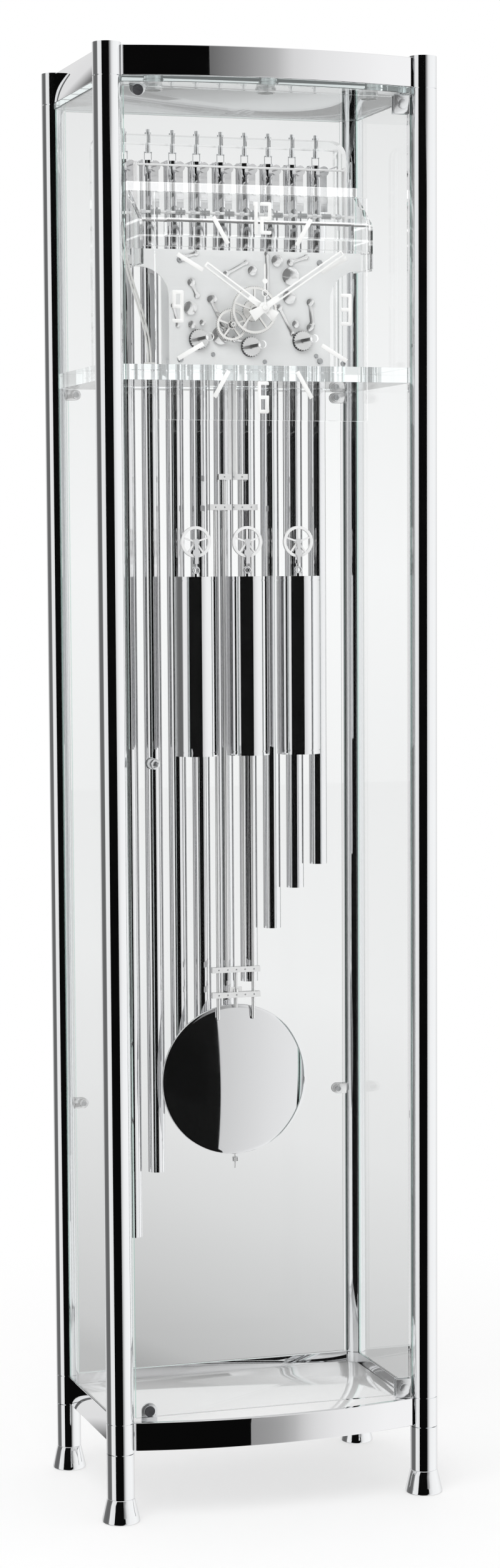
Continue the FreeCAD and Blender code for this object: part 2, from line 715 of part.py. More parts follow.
DRUM_HEIGHT = SHELF_TOP + S.drum_rise
COCK_BASE = PIVOT_HEIGHT + S.cock_rise
HOOD_TOP = SHELF_TOP + S.hood_rise
HOOD_SHOULDER = SHELF_TOP + S.hood_shoulder_rise
HOOD_CHEEK_BASE = SHELF_TOP + S.hood_cheek_rise
CARRIER_BASE = SHELF_TOP + S.carrier_rise
PULLEY_HEIGHT = SHELF_UNDERSIDE - S.pulley_drop
WEIGHT_BASE = PULLEY_HEIGHT - S.stirrup_length - S.hook_length - S.weight_length
PENDULUM_END = FLOOR_TOP + S.pendulum_clearance
BOB_HEIGHT = PENDULUM_END + S.rating_length
BAR_4 = BOB_HEIGHT + S.bob_radius + S.bar_gap
BAR_3 = BAR_4 + S.low_bar_spacing
BAR_1 = PIVOT_HEIGHT - S.high_bar_drop
BAR_2 = BAR_1 - S.high_bar_spacing
HOOK_HEIGHT = BOB_HEIGHT + S.hook_rise
GLASS_LINE = HALF_WIDTH
GLASS_BASE = LOWER_JOINT + S.seat_gap
GLASS_TOP = PANEL_UNDERSIDE - S.seat_gap
FRONT_PLATE = (behind(S.front_plate_setback), behind(S.front_plate_setback + S.plate_thickness))
BACK_PLATE = (FRONT_PLATE[1] + S.plate_space, FRONT_PLATE[1] + S.plate_space + S.plate_thickness)
WEIGHT_LINE = behind(S.weight_setback)
BELL_LINE = behind(S.bell_setback)
PENDULUM_LINE = behind(S.pendulum_setback)
HAMMER_LINE = behind(S.hammer_setback)
DIAL = (behind(S.dial_setback), behind(S.dial_setback + S.sheet_thickness))
DOOR_EDGE = HALF_WIDTH - S.post_radius - S.glass_gap
HINGE_X = HALF_WIDTH - S.hinge_inset
WEIGHT_PLACES = {"left": -S.weight_pitch, "middle": ZERO, "right": S.weight_pitch}
DRUM_HEIGHTS = {
    "left": DRUM_HEIGHT,
    "middle": DRUM_HEIGHT - S.middle_drum_drop,
    "right": DRUM_HEIGHT,
}
CORNERS = (
    ("FrontLeft", -HALF_WIDTH, FRONT, S.post_radius, S.foot_radius),
    ("FrontRight", HALF_WIDTH, FRONT, S.post_radius, S.foot_radius),
    ("RearLeft", -HALF_WIDTH, REAR, S.rear_post_radius, S.rear_foot_radius),
    ("RearRight", HALF_WIDTH, REAR, S.rear_post_radius, S.rear_foot_radius),
)


# Case frame
def make_posts():
    """Four post tubes between the two rings of rails."""
    ends = (LOWER_JOINT + S.joint_groove / 2, UPPER_JOINT - S.joint_groove / 2)
    posts = []
    for name, x, y, radius, foot in CORNERS:
        posts.append(pipe("Post" + name, "z", radius, radius - S.post_wall, (x, y), ends))
    sub_part(group("Posts", *posts), "posts")


def make_corner_sleeves():
    """Eight sleeves: the rails meet them, and their spigots enter posts and legs."""
    sleeves = []
    for name, x, y, radius, foot in CORNERS:
        low_ends = (LEG_JOINT + S.joint_groove / 2, LOWER_JOINT - S.joint_groove / 2)
        low = rod("LowSleeve" + name, "z", radius, (x, y), low_ends)
        post_spigot = rod(
            "LowSpigot" + name, "z", radius - S.post_wall - S.slip_fit, (x, y),
            (low_ends[1], low_ends[1] + S.spigot_length),
        )
        leg_spigot = rod(
            "LegSpigot" + name, "z", radius - S.leg_wall - S.slip_fit, (x, y),
            (low_ends[0] - S.spigot_length, low_ends[0]),
        )
        sleeves.append(fuse("LowCorner" + name, low, post_spigot, leg_spigot))
        high_ends = (UPPER_JOINT + S.joint_groove / 2, S.case_height)
        high = rod("HighSleeve" + name, "z", radius, (x, y), high_ends)
        high_spigot = rod(
            "HighSpigot" + name, "z", radius - S.post_wall - S.slip_fit, (x, y),
            (high_ends[0] - S.spigot_length, high_ends[0]),
        )
        sleeves.append(fuse("HighCorner" + name, high, high_spigot))
    sub_part(group("CornerSleeves", *sleeves), "corner_sleeves")


def make_legs():
    """Four leg tubes under the lower sleeves, each with a floor that the foot screws into."""
    legs = []
    for name, x, y, radius, foot in CORNERS:
        ends = (S.foot_height, LEG_JOINT - S.joint_groove / 2)
        skin = rod("LegSkin" + name, "z", radius, (x, y), ends)
        bore = rod(
            "LegBore" + name, "z", radius - S.leg_wall, (x, y),
            (S.foot_height + S.foot_stud_length, ends[1] + S.cut_overrun),
        )
        stud_bore = rod(
            "LegStudBore" + name, "z", S.leg_wall + S.slip_fit, (x, y),
            (S.foot_height - S.cut_overrun, ends[1]),
        )
        legs.append(cut("Leg" + name, skin, bore, stud_bore))
    sub_part(group("Legs", *legs), "legs")


def make_feet():
    """Four flared feet with a stud each."""
    feet = []
    for name, x, y, radius, foot in CORNERS:
        rim = rod("FootRim" + name, "z", foot, (x, y), (ZERO, S.foot_rim))
        flare = cone("FootFlare" + name, foot, radius, (x, y), (S.foot_rim, S.foot_height))
        stud = rod(
            "FootStud" + name, "z", S.leg_wall, (x, y),
            (S.foot_height, S.foot_height + S.foot_stud_length),
        )
        feet.append(fuse("Foot" + name, rim, flare, stud))
    sub_part(group("Feet", *feet), "feet")


def bow_radius():
    """Radius of the front face of a bowed rail, from its span and its depth."""
    half = S.bow_span / 2
    depth = S.bow_reach - S.bow_end_reach
    return (half * half + depth * depth) / (depth * 2)


def bow_centre():
    """Place of the axis of the bow."""
    return FRONT - S.bow_reach + bow_radius()


def post_holes(name, gap, ends, corners=CORNERS):
    """Cutters round the posts for what fits between them."""
    tools = []
    for corner, x, y, radius, foot in corners:
        tools.append(rod(name + corner, "z", radius + gap, (x, y), longer(ends, S.cut_overrun)))
    return tools


def rail_ends(level):
    """Heights of a ring of rails."""
    if level == "Low":
        return (LOWER_JOINT - S.rail_height, LOWER_JOINT)
    base = PANEL_UNDERSIDE + S.panel_thickness + S.seat_gap
    return (base, base + S.rail_height)


def make_front_rails():
    """Two bowed rails, trimmed where they meet the sleeves."""
    rails = []
    for level in ("Low", "High"):
        ends = rail_ends(level)
        at = (ZERO, bow_centre())
        band = pipe(level + "Bow", "z", bow_radius(), bow_radius() - S.rail_thickness, at, ends)
        window = box(
            level + "BowWindow", both(HALF_WIDTH),
            (FRONT - S.bow_reach - S.cut_overrun, FRONT), ends,
        )
        trimmed = common(level + "BowPart", band, window)
        fronts = post_holes(level + "BowEnd", ZERO, ends, CORNERS[:2])
        rails.append(cut(level + "FrontRail", trimmed, *fronts))
    sub_part(group("FrontRails", *rails), "front_rails")


def make_straight_rails():
    """Side and rear rails of both rings, trimmed where they meet the sleeves."""
    rails = []
    for level in ("Low", "High"):
        ends = rail_ends(level)
        bars = (
            ("Left", about(-HALF_WIDTH, S.rail_thickness), (FRONT, REAR)),
            ("Right", about(HALF_WIDTH, S.rail_thickness), (FRONT, REAR)),
            ("Rear", both(HALF_WIDTH), about(REAR, S.rail_thickness)),
        )
        for side, x, y in bars:
            bar = box(level + side + "Bar", x, y, ends)
            holes = post_holes(level + side + "End", ZERO, ends)
            rails.append(cut(level + side + "Rail", bar, *holes))
    sub_part(group("StraightRails", *rails), "straight_rails")


def bowed_sheet(name, side, rear, inset, ends):
    """A sheet with straight sides and rear and a front edge that follows the bow."""
    radius = bow_radius() - inset
    disc = rod(name + "Disc", "z", radius, (ZERO, bow_centre()), ends)
    blank = box(name + "Blank", both(side), (FRONT - S.bow_reach, rear), ends)
    return common(name + "Sheet", disc, blank)


def lamp_places():
    """Name, X and Y of the three lamps in the glass top."""
    return (
        ("Left", -S.lamp_left, behind(S.lamp_setback)),
        ("Middle", S.lamp_middle, behind(S.lamp_middle_setback)),
        ("Right", S.lamp_right, behind(S.lamp_setback)),
    )


def make_top_panel():
    """Glass top under the upper rails, with holes for the door's upper bush and the lamps."""
    ends = (PANEL_UNDERSIDE, PANEL_UNDERSIDE + S.panel_thickness)
    sheet = bowed_sheet("Top", HALF_WIDTH + S.rail_thickness / 2, REAR, S.panel_inset, ends)
    holes = post_holes("TopHole", S.seat_gap, ends)
    bush = rod(
        "TopBushHole", "z", S.bush_radius + S.slip_fit, (HINGE_X, FRONT),
        longer(ends, S.cut_overrun),
    )
    for tag, x, y in lamp_places():
        holes.append(rod(
            "LampHole" + tag, "z", S.lamp_radius + S.slip_fit, (x, y), longer(ends, S.cut_overrun),
        ))
    sub_part(cut("TopPanel", sheet, bush, *holes), "top_panel")


def make_floor_plate():
    """Polished floor plate inside the lower ring of rails."""
    ends = (FLOOR_TOP - S.floor_thickness, FLOOR_TOP)
    side = HALF_WIDTH - S.rail_thickness / 2 - S.seat_gap
    rear = REAR - S.rail_thickness / 2 - S.seat_gap
    sheet = bowed_sheet("Floor", side, rear, S.rail_thickness + S.seat_gap, ends)
    holes = post_holes("FloorHole", S.seat_gap, ends)
    sub_part(cut("FloorPlate", sheet, *holes), "floor_plate")


# Glass walls
def make_wall_glass():
    """Two side panes and the rear pane, between the posts."""
    height = (GLASS_BASE, GLASS_TOP)
    side_depth = (FRONT + S.post_radius + S.glass_gap, REAR - S.rear_post_radius - S.glass_gap)
    rear_half = HALF_WIDTH - S.rear_post_radius - S.glass_gap
    panes = (
        box("LeftPane", about(-GLASS_LINE, S.glass_thickness), side_depth, height),
        box("RightPane", about(GLASS_LINE, S.glass_thickness), side_depth, height),
        box("RearPane", both(rear_half), about(REAR, S.glass_thickness), height),
    )
    sub_part(group("WallGlass", *panes), "wall_glass")


def make_post_clamp(name, corner, along, toward, base):
    """One clamp: an arm from a post with two cheeks that grip the edge of a pane.

    The arm runs along X or Y, toward the inside of the pane: -1 or +1.
    """
    x, y, radius = corner[1:4]
    heights = (base, base + S.clamp_height)
    half = S.glass_thickness / 2 + S.clamp_cheek
    slot_half = S.glass_thickness / 2 + S.slip_fit
    round_radius = S.clamp_height / 2
    arm_end = radius + S.clamp_reach - round_radius
    middle = base + round_radius
    start, axis_place, across_place = (x, x, y) if along == "x" else (y, y, x)
    inward = -1 if (float(across_place) > 0) else 1

    def run(near, far):
        """Range along the arm from two distances measured from the post axis."""
        if toward > 0:
            return (start + near, start + far)
        return (start - far, start - near)

    def block(tag, along_range, across_range, up_range):
        """A block given along the arm and across it."""
        if along == "x":
            return box(name + tag, along_range, across_range, up_range)
        return box(name + tag, across_range, along_range, up_range)

    end_place = axis_place + arm_end * toward
    across = about(across_place, half * 2)
    arm = block("Arm", run(ZERO, arm_end), across, heights)
    disc_axis = "y" if along == "x" else "x"
    at = (end_place, middle)
    tip = rod(name + "Tip", disc_axis, round_radius, at, across)
    face = across_place + half * inward
    head_ends = (face - S.clamp_screw_height, face) if inward < 0 else (face, face + S.clamp_screw_height)
    head = rod(name + "Screw", disc_axis, S.clamp_screw_radius, at, head_ends)
    blank = fuse(name + "Blank", arm, tip, head)
    slot = block(
        "Slot", run(radius + S.clamp_web, radius + S.clamp_reach + S.cut_overrun),
        about(across_place, slot_half * 2), longer(heights, S.cut_overrun),
    )
    post = rod(name + "Saddle", "z", radius, (x, y), longer(heights, S.cut_overrun))
    return cut(name, blank, slot, post)


def make_post_clamps():
    """Eight clamps: four on the side panes at the front, four on the rear pane."""
    low = LOW_CLAMP_BASE
    high = SHELF_UNDERSIDE - S.seat_gap - S.clamp_height
    clamps = []
    for tag, base in (("Low", low), ("High", high)):
        for corner in CORNERS:
            if corner[0].startswith("Front"):
                clamps.append(make_post_clamp(tag + "Clamp" + corner[0], corner, "y", 1, base))
            else:
                toward = 1 if corner[0].endswith("Left") else -1
                clamps.append(make_post_clamp(tag + "Clamp" + corner[0], corner, "x", toward, base))
    sub_part(group("PostClamps", *clamps), "post_clamps")


# Door
DOOR_HEIGHTS = (LOWER_JOINT + S.door_end_gap, PANEL_UNDERSIDE - S.door_end_gap)
KNOB_X = -DOOR_EDGE + S.knob_inset


def make_door_glass():
    """Door pane with a hole for the knob's shank."""
    loops = [
        rectangle(both(DOOR_EDGE), DOOR_HEIGHTS),
        Round(KNOB_X, KNOB_HEIGHT, S.knob_shank_radius + S.slip_fit),
    ]
    corner = (ZERO, FRONT + S.glass_thickness / 2, ZERO)
    sub_part(padded("DoorGlass", "XZ_Plane", loops, S.glass_thickness, corner), "door_glass")


def make_door_knob():
    """Round knob with a recess, its shank through the glass and a washer behind."""
    at = (KNOB_X, KNOB_HEIGHT)
    face = FRONT - S.glass_thickness / 2
    back = FRONT + S.glass_thickness / 2
    grip = rod("KnobGrip", "y", S.knob_radius, at, (face - S.knob_length, face))
    shank = rod("KnobShank", "y", S.knob_shank_radius, at, (face, back + S.knob_washer_thickness))
    washer = rod("KnobWasher", "y", S.knob_washer_radius, at, (back, back + S.knob_washer_thickness))
    recess = rod(
        "KnobRecess", "y", S.knob_recess_radius, at,
        (face - S.knob_length - S.cut_overrun, face - S.knob_length + S.knob_recess_depth),
    )
    sub_part(cut("DoorKnob", fuse("KnobBlank", grip, shank, washer), recess), "door_knob")


def make_hinge_clamp(name, glass_end, outward):
    """A clamp round a corner of the door pane, with a pivot pin. outward is -1 down or +1 up."""
    half = S.glass_thickness / 2 + S.hinge_cheek
    right = DOOR_EDGE + S.hinge_overhang
    outer = glass_end + (S.seat_gap + S.hinge_bridge) * outward
    inner = outer - S.hinge_clamp_height * outward
    heights = (outer, inner) if outward < 0 else (inner, outer)
    slot = (glass_end - S.seat_gap, inner + S.cut_overrun)
    if outward > 0:
        slot = (inner - S.cut_overrun, glass_end + S.seat_gap)
    middle = (outer + inner) / 2
    across = about(FRONT, half * 2)
    block = box(name + "Block", (right - S.hinge_clamp_width, right), across, heights)
    opening = box(
        name + "Slot", longer((right - S.hinge_clamp_width, right), S.cut_overrun),
        about(FRONT, S.glass_thickness + S.slip_fit * 2), slot,
    )
    pin_ends = (outer - S.pivot_length, outer) if outward < 0 else (outer, outer + S.pivot_length)
    pin = rod(name + "Pin", "z", S.pivot_radius, (HINGE_X, FRONT), pin_ends)
    disc = rod(
        name + "Disc", "y", S.hinge_disc_radius, (HINGE_X, middle),
        (across[0] - S.hinge_disc_height, across[0]),
    )
    rear_disc = rod(
        name + "RearDisc", "y", S.hinge_disc_radius, (HINGE_X, middle),
        (across[1], across[1] + S.hinge_disc_height),
    )
    return cut(name, fuse(name + "Blank", block, pin, disc, rear_disc), opening)


def make_door_hinges():
    """The two hinge clamps of the door."""
    low = make_hinge_clamp("LowHinge", DOOR_HEIGHTS[0], -1)
    high = make_hinge_clamp("HighHinge", DOOR_HEIGHTS[1], 1)
    sub_part(group("DoorHinges", low, high), "door_hinges")


def make_door_catch(name, centre_height, seat_height, outward):
    """A catch plate with a round end and a magnet, behind the free edge of the door.

    outward is the way from its seat to the round end: 1 up or -1 down.
    """
    x = -DOOR_EDGE + S.catch_inset
    magnet_front = FRONT + S.glass_thickness / 2 + S.slip_fit * 2
    front = magnet_front + S.magnet_height
    depth = (front, front + S.catch_thickness)
    tip_height = centre_height + S.catch_radius * outward
    strip_ends = (seat_height, centre_height) if outward > 0 else (centre_height, seat_height)
    window_ends = (seat_height, tip_height) if outward > 0 else (tip_height, seat_height)
    across = about(x, S.catch_radius * 2)
    strip = box(name + "Strip", across, depth, strip_ends)
    end = rod(name + "End", "y", S.catch_radius, (x, centre_height), depth)
    window = box(name + "Window", across, depth, window_ends)
    lowest = seat_height + (S.magnet_radius + S.magnet_margin) * outward
    magnet_height = centre_height
    if abs(float(lowest - seat_height)) > abs(float(centre_height - seat_height)):
        magnet_height = lowest
    magnet = rod(
        name + "Magnet", "y", S.magnet_radius, (x, magnet_height), (magnet_front, front),
    )
    return fuse(name, common(name + "Plate", fuse(name + "Blank", strip, end), window), magnet)


def make_door_seats():
    """What the door meets in the case: lower bracket, upper bush and two catch plates."""
    pin_bore = S.pivot_radius + S.slip_fit
    clamp_low = DOOR_HEIGHTS[0] - S.seat_gap - S.hinge_bridge
    bracket = box(
        "BracketBlock", about(HINGE_X, S.bracket_width),
        (FRONT - S.bracket_front, FRONT + S.bracket_back),
        (FLOOR_TOP, clamp_low - S.bracket_gap),
    )
    bracket_bore = rod(
        "BracketBore", "z", pin_bore, (HINGE_X, FRONT),
        (clamp_low - S.pivot_length - S.slip_fit, clamp_low),
    )
    panel = (PANEL_UNDERSIDE, PANEL_UNDERSIDE + S.panel_thickness)
    bush = pipe("PivotBush", "z", S.bush_radius, pin_bore, (HINGE_X, FRONT), panel)
    low = make_door_catch("LowCatch", FLOOR_TOP + S.catch_rise, FLOOR_TOP, 1)
    high = make_door_catch("HighCatch", PANEL_UNDERSIDE - S.catch_drop, PANEL_UNDERSIDE, -1)
    sub_part(
        group("DoorSeats", cut("PivotBracket", bracket, bracket_bore), bush, low, high),
        "door_seats",
    )


# Lamps
def make_downlights():
    """Three round lamps set in the glass top, each with a flange on it and an open mouth below."""
    lamps = []
    base = PANEL_UNDERSIDE - S.lamp_drop
    panel_top = PANEL_UNDERSIDE + S.panel_thickness
    for tag, x, y in lamp_places():
        body = rod("Lamp" + tag, "z", S.lamp_radius, (x, y), (base, panel_top + S.lamp_rise))
        flange = rod(
            "LampFlange" + tag, "z", S.lamp_flange_radius, (x, y),
            (panel_top, panel_top + S.lamp_flange_height),
        )
        mouth = rod(
            "LampMouth" + tag, "z", S.lamp_radius - S.lamp_wall, (x, y),
            (base - S.cut_overrun, base + S.lamp_recess),
        )
        lamps.append(cut("Downlight" + tag, fuse("LampBlank" + tag, body, flange), mouth))
    sub_part(group("Downlights", *lamps), "downlights")


# Seat shelf
def make_seat_shelf():
    """Thick clear shelf that carries the movement and the bell rack."""
    side = HALF_WIDTH - S.glass_thickness / 2 - S.shelf_side_gap
    rear = REAR - S.glass_thickness / 2 - S.shelf_side_gap
    notch = S.rear_post_radius + S.shelf_side_gap
    notch_x = HALF_WIDTH - notch
    notch_y = REAR - notch
    outline = [
        (-side, behind(S.shelf_setback)), (side, behind(S.shelf_setback)),
        (side, notch_y), (notch_x, notch_y), (notch_x, rear),
        (-notch_x, rear), (-notch_x, notch_y), (-side, notch_y),
    ]
    loops = [
        outline,
        rectangle(both(S.bell_slot_half), about(BELL_LINE, S.bell_slot_depth)),
        rectangle(both(S.pendulum_slot_half), about(PENDULUM_LINE, S.pendulum_slot_depth)),
    ]
    for x in WEIGHT_PLACES.values():
        for side_sign in (-1, 1):
            loops.append(Round(x + S.cable_turn_radius * side_sign, WEIGHT_LINE, S.cable_hole_radius))
    corner = (ZERO, ZERO, SHELF_UNDERSIDE)
    sub_part(padded("SeatShelf", "XY_Plane", loops, S.shelf_thickness, corner), "seat_shelf")


# Bells
def bell_places():
    """The X places of the bells, from left to right."""
    middle = (BELLS - 1) / 2
    return [S.bell_pitch * (index - middle) for index in range(BELLS)]


# Lengths of the bells as shares of the longest one, from left to right
BELL_LENGTH_SHARES = (1.0, 0.93907, 0.88543, 0.8404, 0.80066, 0.76159, 0.71192, 0.67417, 0.65232)
LONGEST_BELL = BELL_TOP - FLOOR_TOP - S.bell_floor_gap
PIN_HEIGHT = BELL_TOP - S.pin_drop


def make_tube_rack():
    """Clear arch on the shelf whose bar carries the bells."""
    depth = about(BELL_LINE, S.rack_depth)
    outer = box("RackOuter", both(S.rack_outer_half), depth, (SHELF_TOP, RACK_TOP))
    DOC.recompute()
    corners = []
    for index, edge in enumerate(outer.Shape.Edges, start=1):
        upper = edge.BoundBox.ZMin > float(RACK_TOP) - float(S.slip_fit)
        along_y = edge.BoundBox.YLength > float(S.rack_depth) / 2
        if upper and along_y:
            corners.append((index, float(S.rack_corner), float(S.rack_corner)))
    rounded = DOC.addObject("Part::Fillet", "RackRounded")
    rounded.Base = outer
    rounded.Edges = corners
    inner = box(
        "RackInner", both(S.rack_outer_half - S.rack_leg), longer(depth, S.cut_overrun),
        (SHELF_TOP - S.cut_overrun, RACK_TOP - S.rack_leg),
    )
    tools = [inner]
    for index, x in enumerate(bell_places()):
        tools.append(rod(
            f"RackHole{index}", "z", S.stud_radius + S.slip_fit, (x, BELL_LINE),
            longer((RACK_TOP - S.rack_leg, RACK_TOP), S.cut_overrun),
        ))
    sub_part(cut("TubeRack", rounded, *tools), "tube_rack")


def make_tube_hangers():
    """Nine hangers: a stud with its nut, a neck, two wires and the pin through the bell."""
    hangers = []
    bar = (RACK_TOP - S.rack_leg, RACK_TOP)
    neck = (bar[0] - S.fork_length, bar[0])
    for index, x in enumerate(bell_places()):
        at = (x, BELL_LINE)
        name = f"Hanger{index}"
        pieces = [
            rod(name + "Stud", "z", S.stud_radius, at, (neck[0], bar[1] + S.stud_rise)),
            rod(name + "Nut", "z", S.stud_nut_radius, at, (bar[1], bar[1] + S.stud_nut_height)),
            rod(name + "Neck", "z", S.fork_radius, at, neck),
            rod(
                name + "Yoke", "x", S.pin_radius, (BELL_LINE, neck[0] + S.pin_radius),
                both_about(x, S.fork_spread + S.loop_wire_radius),
            ),
            rod(
                name + "Pin", "x", S.pin_radius, (BELL_LINE, PIN_HEIGHT),
                both_about(x, S.bell_radius + S.pin_overhang),
            ),
        ]
        for side, tag in ((-1, "LeftWire"), (1, "RightWire")):
            pieces.append(rod(
                name + tag, "z", S.loop_wire_radius, (x + S.fork_spread * side, BELL_LINE),
                (PIN_HEIGHT, neck[0] + S.pin_radius),
            ))
        hangers.append(fuse(name, *pieces))
    sub_part(group("TubeHangers", *hangers), "tube_hangers")


def make_tubular_bells():
    """Nine open tubes of falling length, each drilled for its pin."""
    bells = []
    for index, (x, share) in enumerate(zip(bell_places(), BELL_LENGTH_SHARES)):
        name = f"Bell{index}"
        length = LONGEST_BELL * share
        tube = pipe(
            name + "Tube", "z", S.bell_radius, S.bell_radius - S.bell_wall, (x, BELL_LINE),
            (BELL_TOP - length, BELL_TOP),
        )
        hole = rod(
            name + "PinHole", "x", S.pin_radius + S.slip_fit, (BELL_LINE, PIN_HEIGHT),
            both_about(x, S.bell_radius + S.cut_overrun),
        )
        bells.append(cut(name, tube, hole))
    sub_part(group("TubularBells", *bells), "tubular_bells")


# Hammers
def make_hammer(index, x):
    """One hammer: hub on the axle, wire, head, hanging strip with its block, and tail."""
    name = f"Hammer{index}"
    axle = (HAMMER_LINE, HAMMER_HEIGHT)
    head_height = HAMMER_HEIGHT + S.hammer_rise
    head_front = HAMMER_LINE + S.hammer_head_start
    strip_y = HAMMER_LINE + S.hammer_strip_setback
    strip_base = head_height - S.hammer_strip_length
    hub = rod(name + "Hub", "x", S.hammer_hub_radius, axle, about(x, S.hammer_hub_width))
    wire = rod(
        name + "Wire", "z", S.hammer_wire_radius, (x, HAMMER_LINE),
        (HAMMER_HEIGHT, head_height),
    )
    bend = ball(name + "Bend", S.hammer_wire_radius, x, HAMMER_LINE, head_height)
    arm = rod(name + "Arm", "y", S.hammer_wire_radius, (x, head_height), (HAMMER_LINE, head_front))
    head = rod(
        name + "Head", "y", S.hammer_head_radius, (x, head_height),
        (head_front, head_front + S.hammer_head_length),
    )
    strip = box(
        name + "Strip", about(x, S.hammer_strip_width),
        about(strip_y, S.hammer_strip_thickness), (strip_base, head_height),
    )
    block_base = strip_base + S.hammer_block_rise
    block = box(
        name + "Block", about(x, S.hammer_block_size), about(strip_y, S.hammer_block_depth),
        (block_base, block_base + S.hammer_block_size),
    )
    tail = box(
        name + "Tail", about(x, S.hammer_tail_width), about(HAMMER_LINE, S.hammer_wire_radius * 2),
        (HAMMER_HEIGHT - S.hammer_tail_length, HAMMER_HEIGHT),
    )
    whole = fuse(name + "Blank", hub, wire, bend, arm, head, strip, block, tail)
    bore = rod(
        name + "Bore", "x", S.hammer_axle_radius + S.running_fit, axle,
        longer(about(x, S.hammer_hub_width), S.cut_overrun),
    )
    sub_part(cut(name, whole, bore), f"hammer_{index + 1}")


def make_hammer_rail():
    """Axle and stop rod of the hammers, with two uprights on a bar behind the back plate."""
    stop_y = HAMMER_LINE - S.hammer_wire_radius - S.stop_rod_gap - S.stop_rod_radius
    stop_z = HAMMER_HEIGHT + S.stop_rod_rise
    front = stop_y - S.stop_rod_radius - S.loop_wire_radius
    foot = (BACK_PLATE_TOP - S.upright_foot, BACK_PLATE_TOP)
    bar_y = (BACK_PLATE[1], BACK_PLATE[1] + S.upright_thickness)
    pieces = [
        rod(
            "HammerAxle", "x", S.hammer_axle_radius, (HAMMER_LINE, HAMMER_HEIGHT),
            both(S.hammer_axle_half),
        ),
        rod(
            "StopRod", "x", S.stop_rod_radius, (stop_y, stop_z),
            both(S.upright_half + S.upright_thickness),
        ),
        box("UprightBar", both(S.upright_half + S.upright_thickness / 2), bar_y, foot),
    ]
    for side, tag in ((-1, "Left"), (1, "Right")):
        x = about(S.upright_half * side, S.upright_thickness)
        pieces.append(box(
            tag + "Upright", x, (front, front + S.upright_depth),
            (foot[0], stop_z + S.upright_margin),
        ))
        pieces.append(box(tag + "UprightFoot", x, (front, bar_y[1]), foot))
    sub_part(fuse("HammerRail", *pieces), "hammer_rail")


# Movement plates
def movement_holes(name, ends, drum_radius, middle_radius, anchor_radius):
    """Bearing holes of one plate for the drums, the middle arbor and the anchor."""
    through = longer(ends, S.cut_overrun)
    holes = [
        rod(name + "Middle", "y", middle_radius, (ZERO, DIAL_HEIGHT), through),
        rod(name + "Anchor", "y", anchor_radius, (ZERO, PIVOT_HEIGHT), through),
    ]
    for side, x in WEIGHT_PLACES.items():
        holes.append(rod(name + side, "y", drum_radius, (x, DRUM_HEIGHTS[side]), through))
    return holes


def make_front_plate():
    """Satin front plate with wide shoulders and hollow curves below them."""
    blank = box("FrontBlank", both(S.shoulder_half), FRONT_PLATE, (SHELF_TOP, FRONT_PLATE_TOP))
    tools = []
    for side, tag in ((-1, "Left"), (1, "Right")):
        low = S.front_plate_half * side
        high = (S.shoulder_half + S.cut_overrun) * side
        x = (low, high) if side > 0 else (high, low)
        tools.append(box(
            "FrontSide" + tag, x, longer(FRONT_PLATE, S.cut_overrun),
            (SHELF_TOP - S.cut_overrun, SHOULDER_BASE),
        ))
        tools.append(rod(
            "FrontCurve" + tag, "y", S.shoulder_radius,
            ((S.front_plate_half + S.shoulder_radius) * side, SHOULDER_BASE),
            longer(FRONT_PLATE, S.cut_overrun),
        ))
    tools += movement_holes(
        "FrontHole", FRONT_PLATE, S.drum_arbor_radius + S.running_fit,
        S.minute_pipe_radius + S.running_fit, S.anchor_arbor_radius + S.running_fit,
    )
    sub_part(cut("FrontPlate", blank, *tools), "front_plate")


def make_back_plate():
    """Back plate with the cock that carries the pendulum's pivot pin."""
    plate = box("BackBlank", both(S.back_plate_half), BACK_PLATE, (SHELF_TOP, BACK_PLATE_TOP))
    rear = BACK_PLATE[1]
    foot = box(
        "CockFoot", both(S.cock_half), (rear, rear + S.upright_thickness),
        (COCK_BASE, COCK_BASE + S.cock_height),
    )
    lug_gap = S.pendulum_boss_width / 2 + S.seat_gap
    arm_end = PENDULUM_LINE + lug_gap + S.cock_lug
    arm = box(
        "CockArm", both(S.cock_arm_half), (rear, arm_end),
        (COCK_BASE, COCK_BASE + S.cock_arm_height),
    )
    lugs = []
    for side, tag in ((-1, "Front"), (1, "Rear")):
        near = PENDULUM_LINE + lug_gap * side
        far = PENDULUM_LINE + (lug_gap + S.cock_lug) * side
        y = (near, far) if side > 0 else (far, near)
        lugs.append(box(
            "CockLug" + tag, both(S.cock_arm_half), y,
            (PIVOT_HEIGHT - S.cock_lug_margin, COCK_BASE + S.cock_arm_height),
        ))
    pin = rod(
        "CockPin", "y", S.pendulum_pin_radius, (ZERO, PIVOT_HEIGHT),
        (PENDULUM_LINE - lug_gap - S.cock_lug, arm_end),
    )
    whole = fuse("BackWhole", plate, foot, arm, pin, *lugs)
    holes = movement_holes(
        "BackHole", BACK_PLATE, S.drum_pivot_radius + S.running_fit,
        S.seconds_arbor_radius + S.running_fit, S.anchor_arbor_radius + S.running_fit,
    )
    sub_part(cut("BackPlate", whole, *holes), "back_plate")


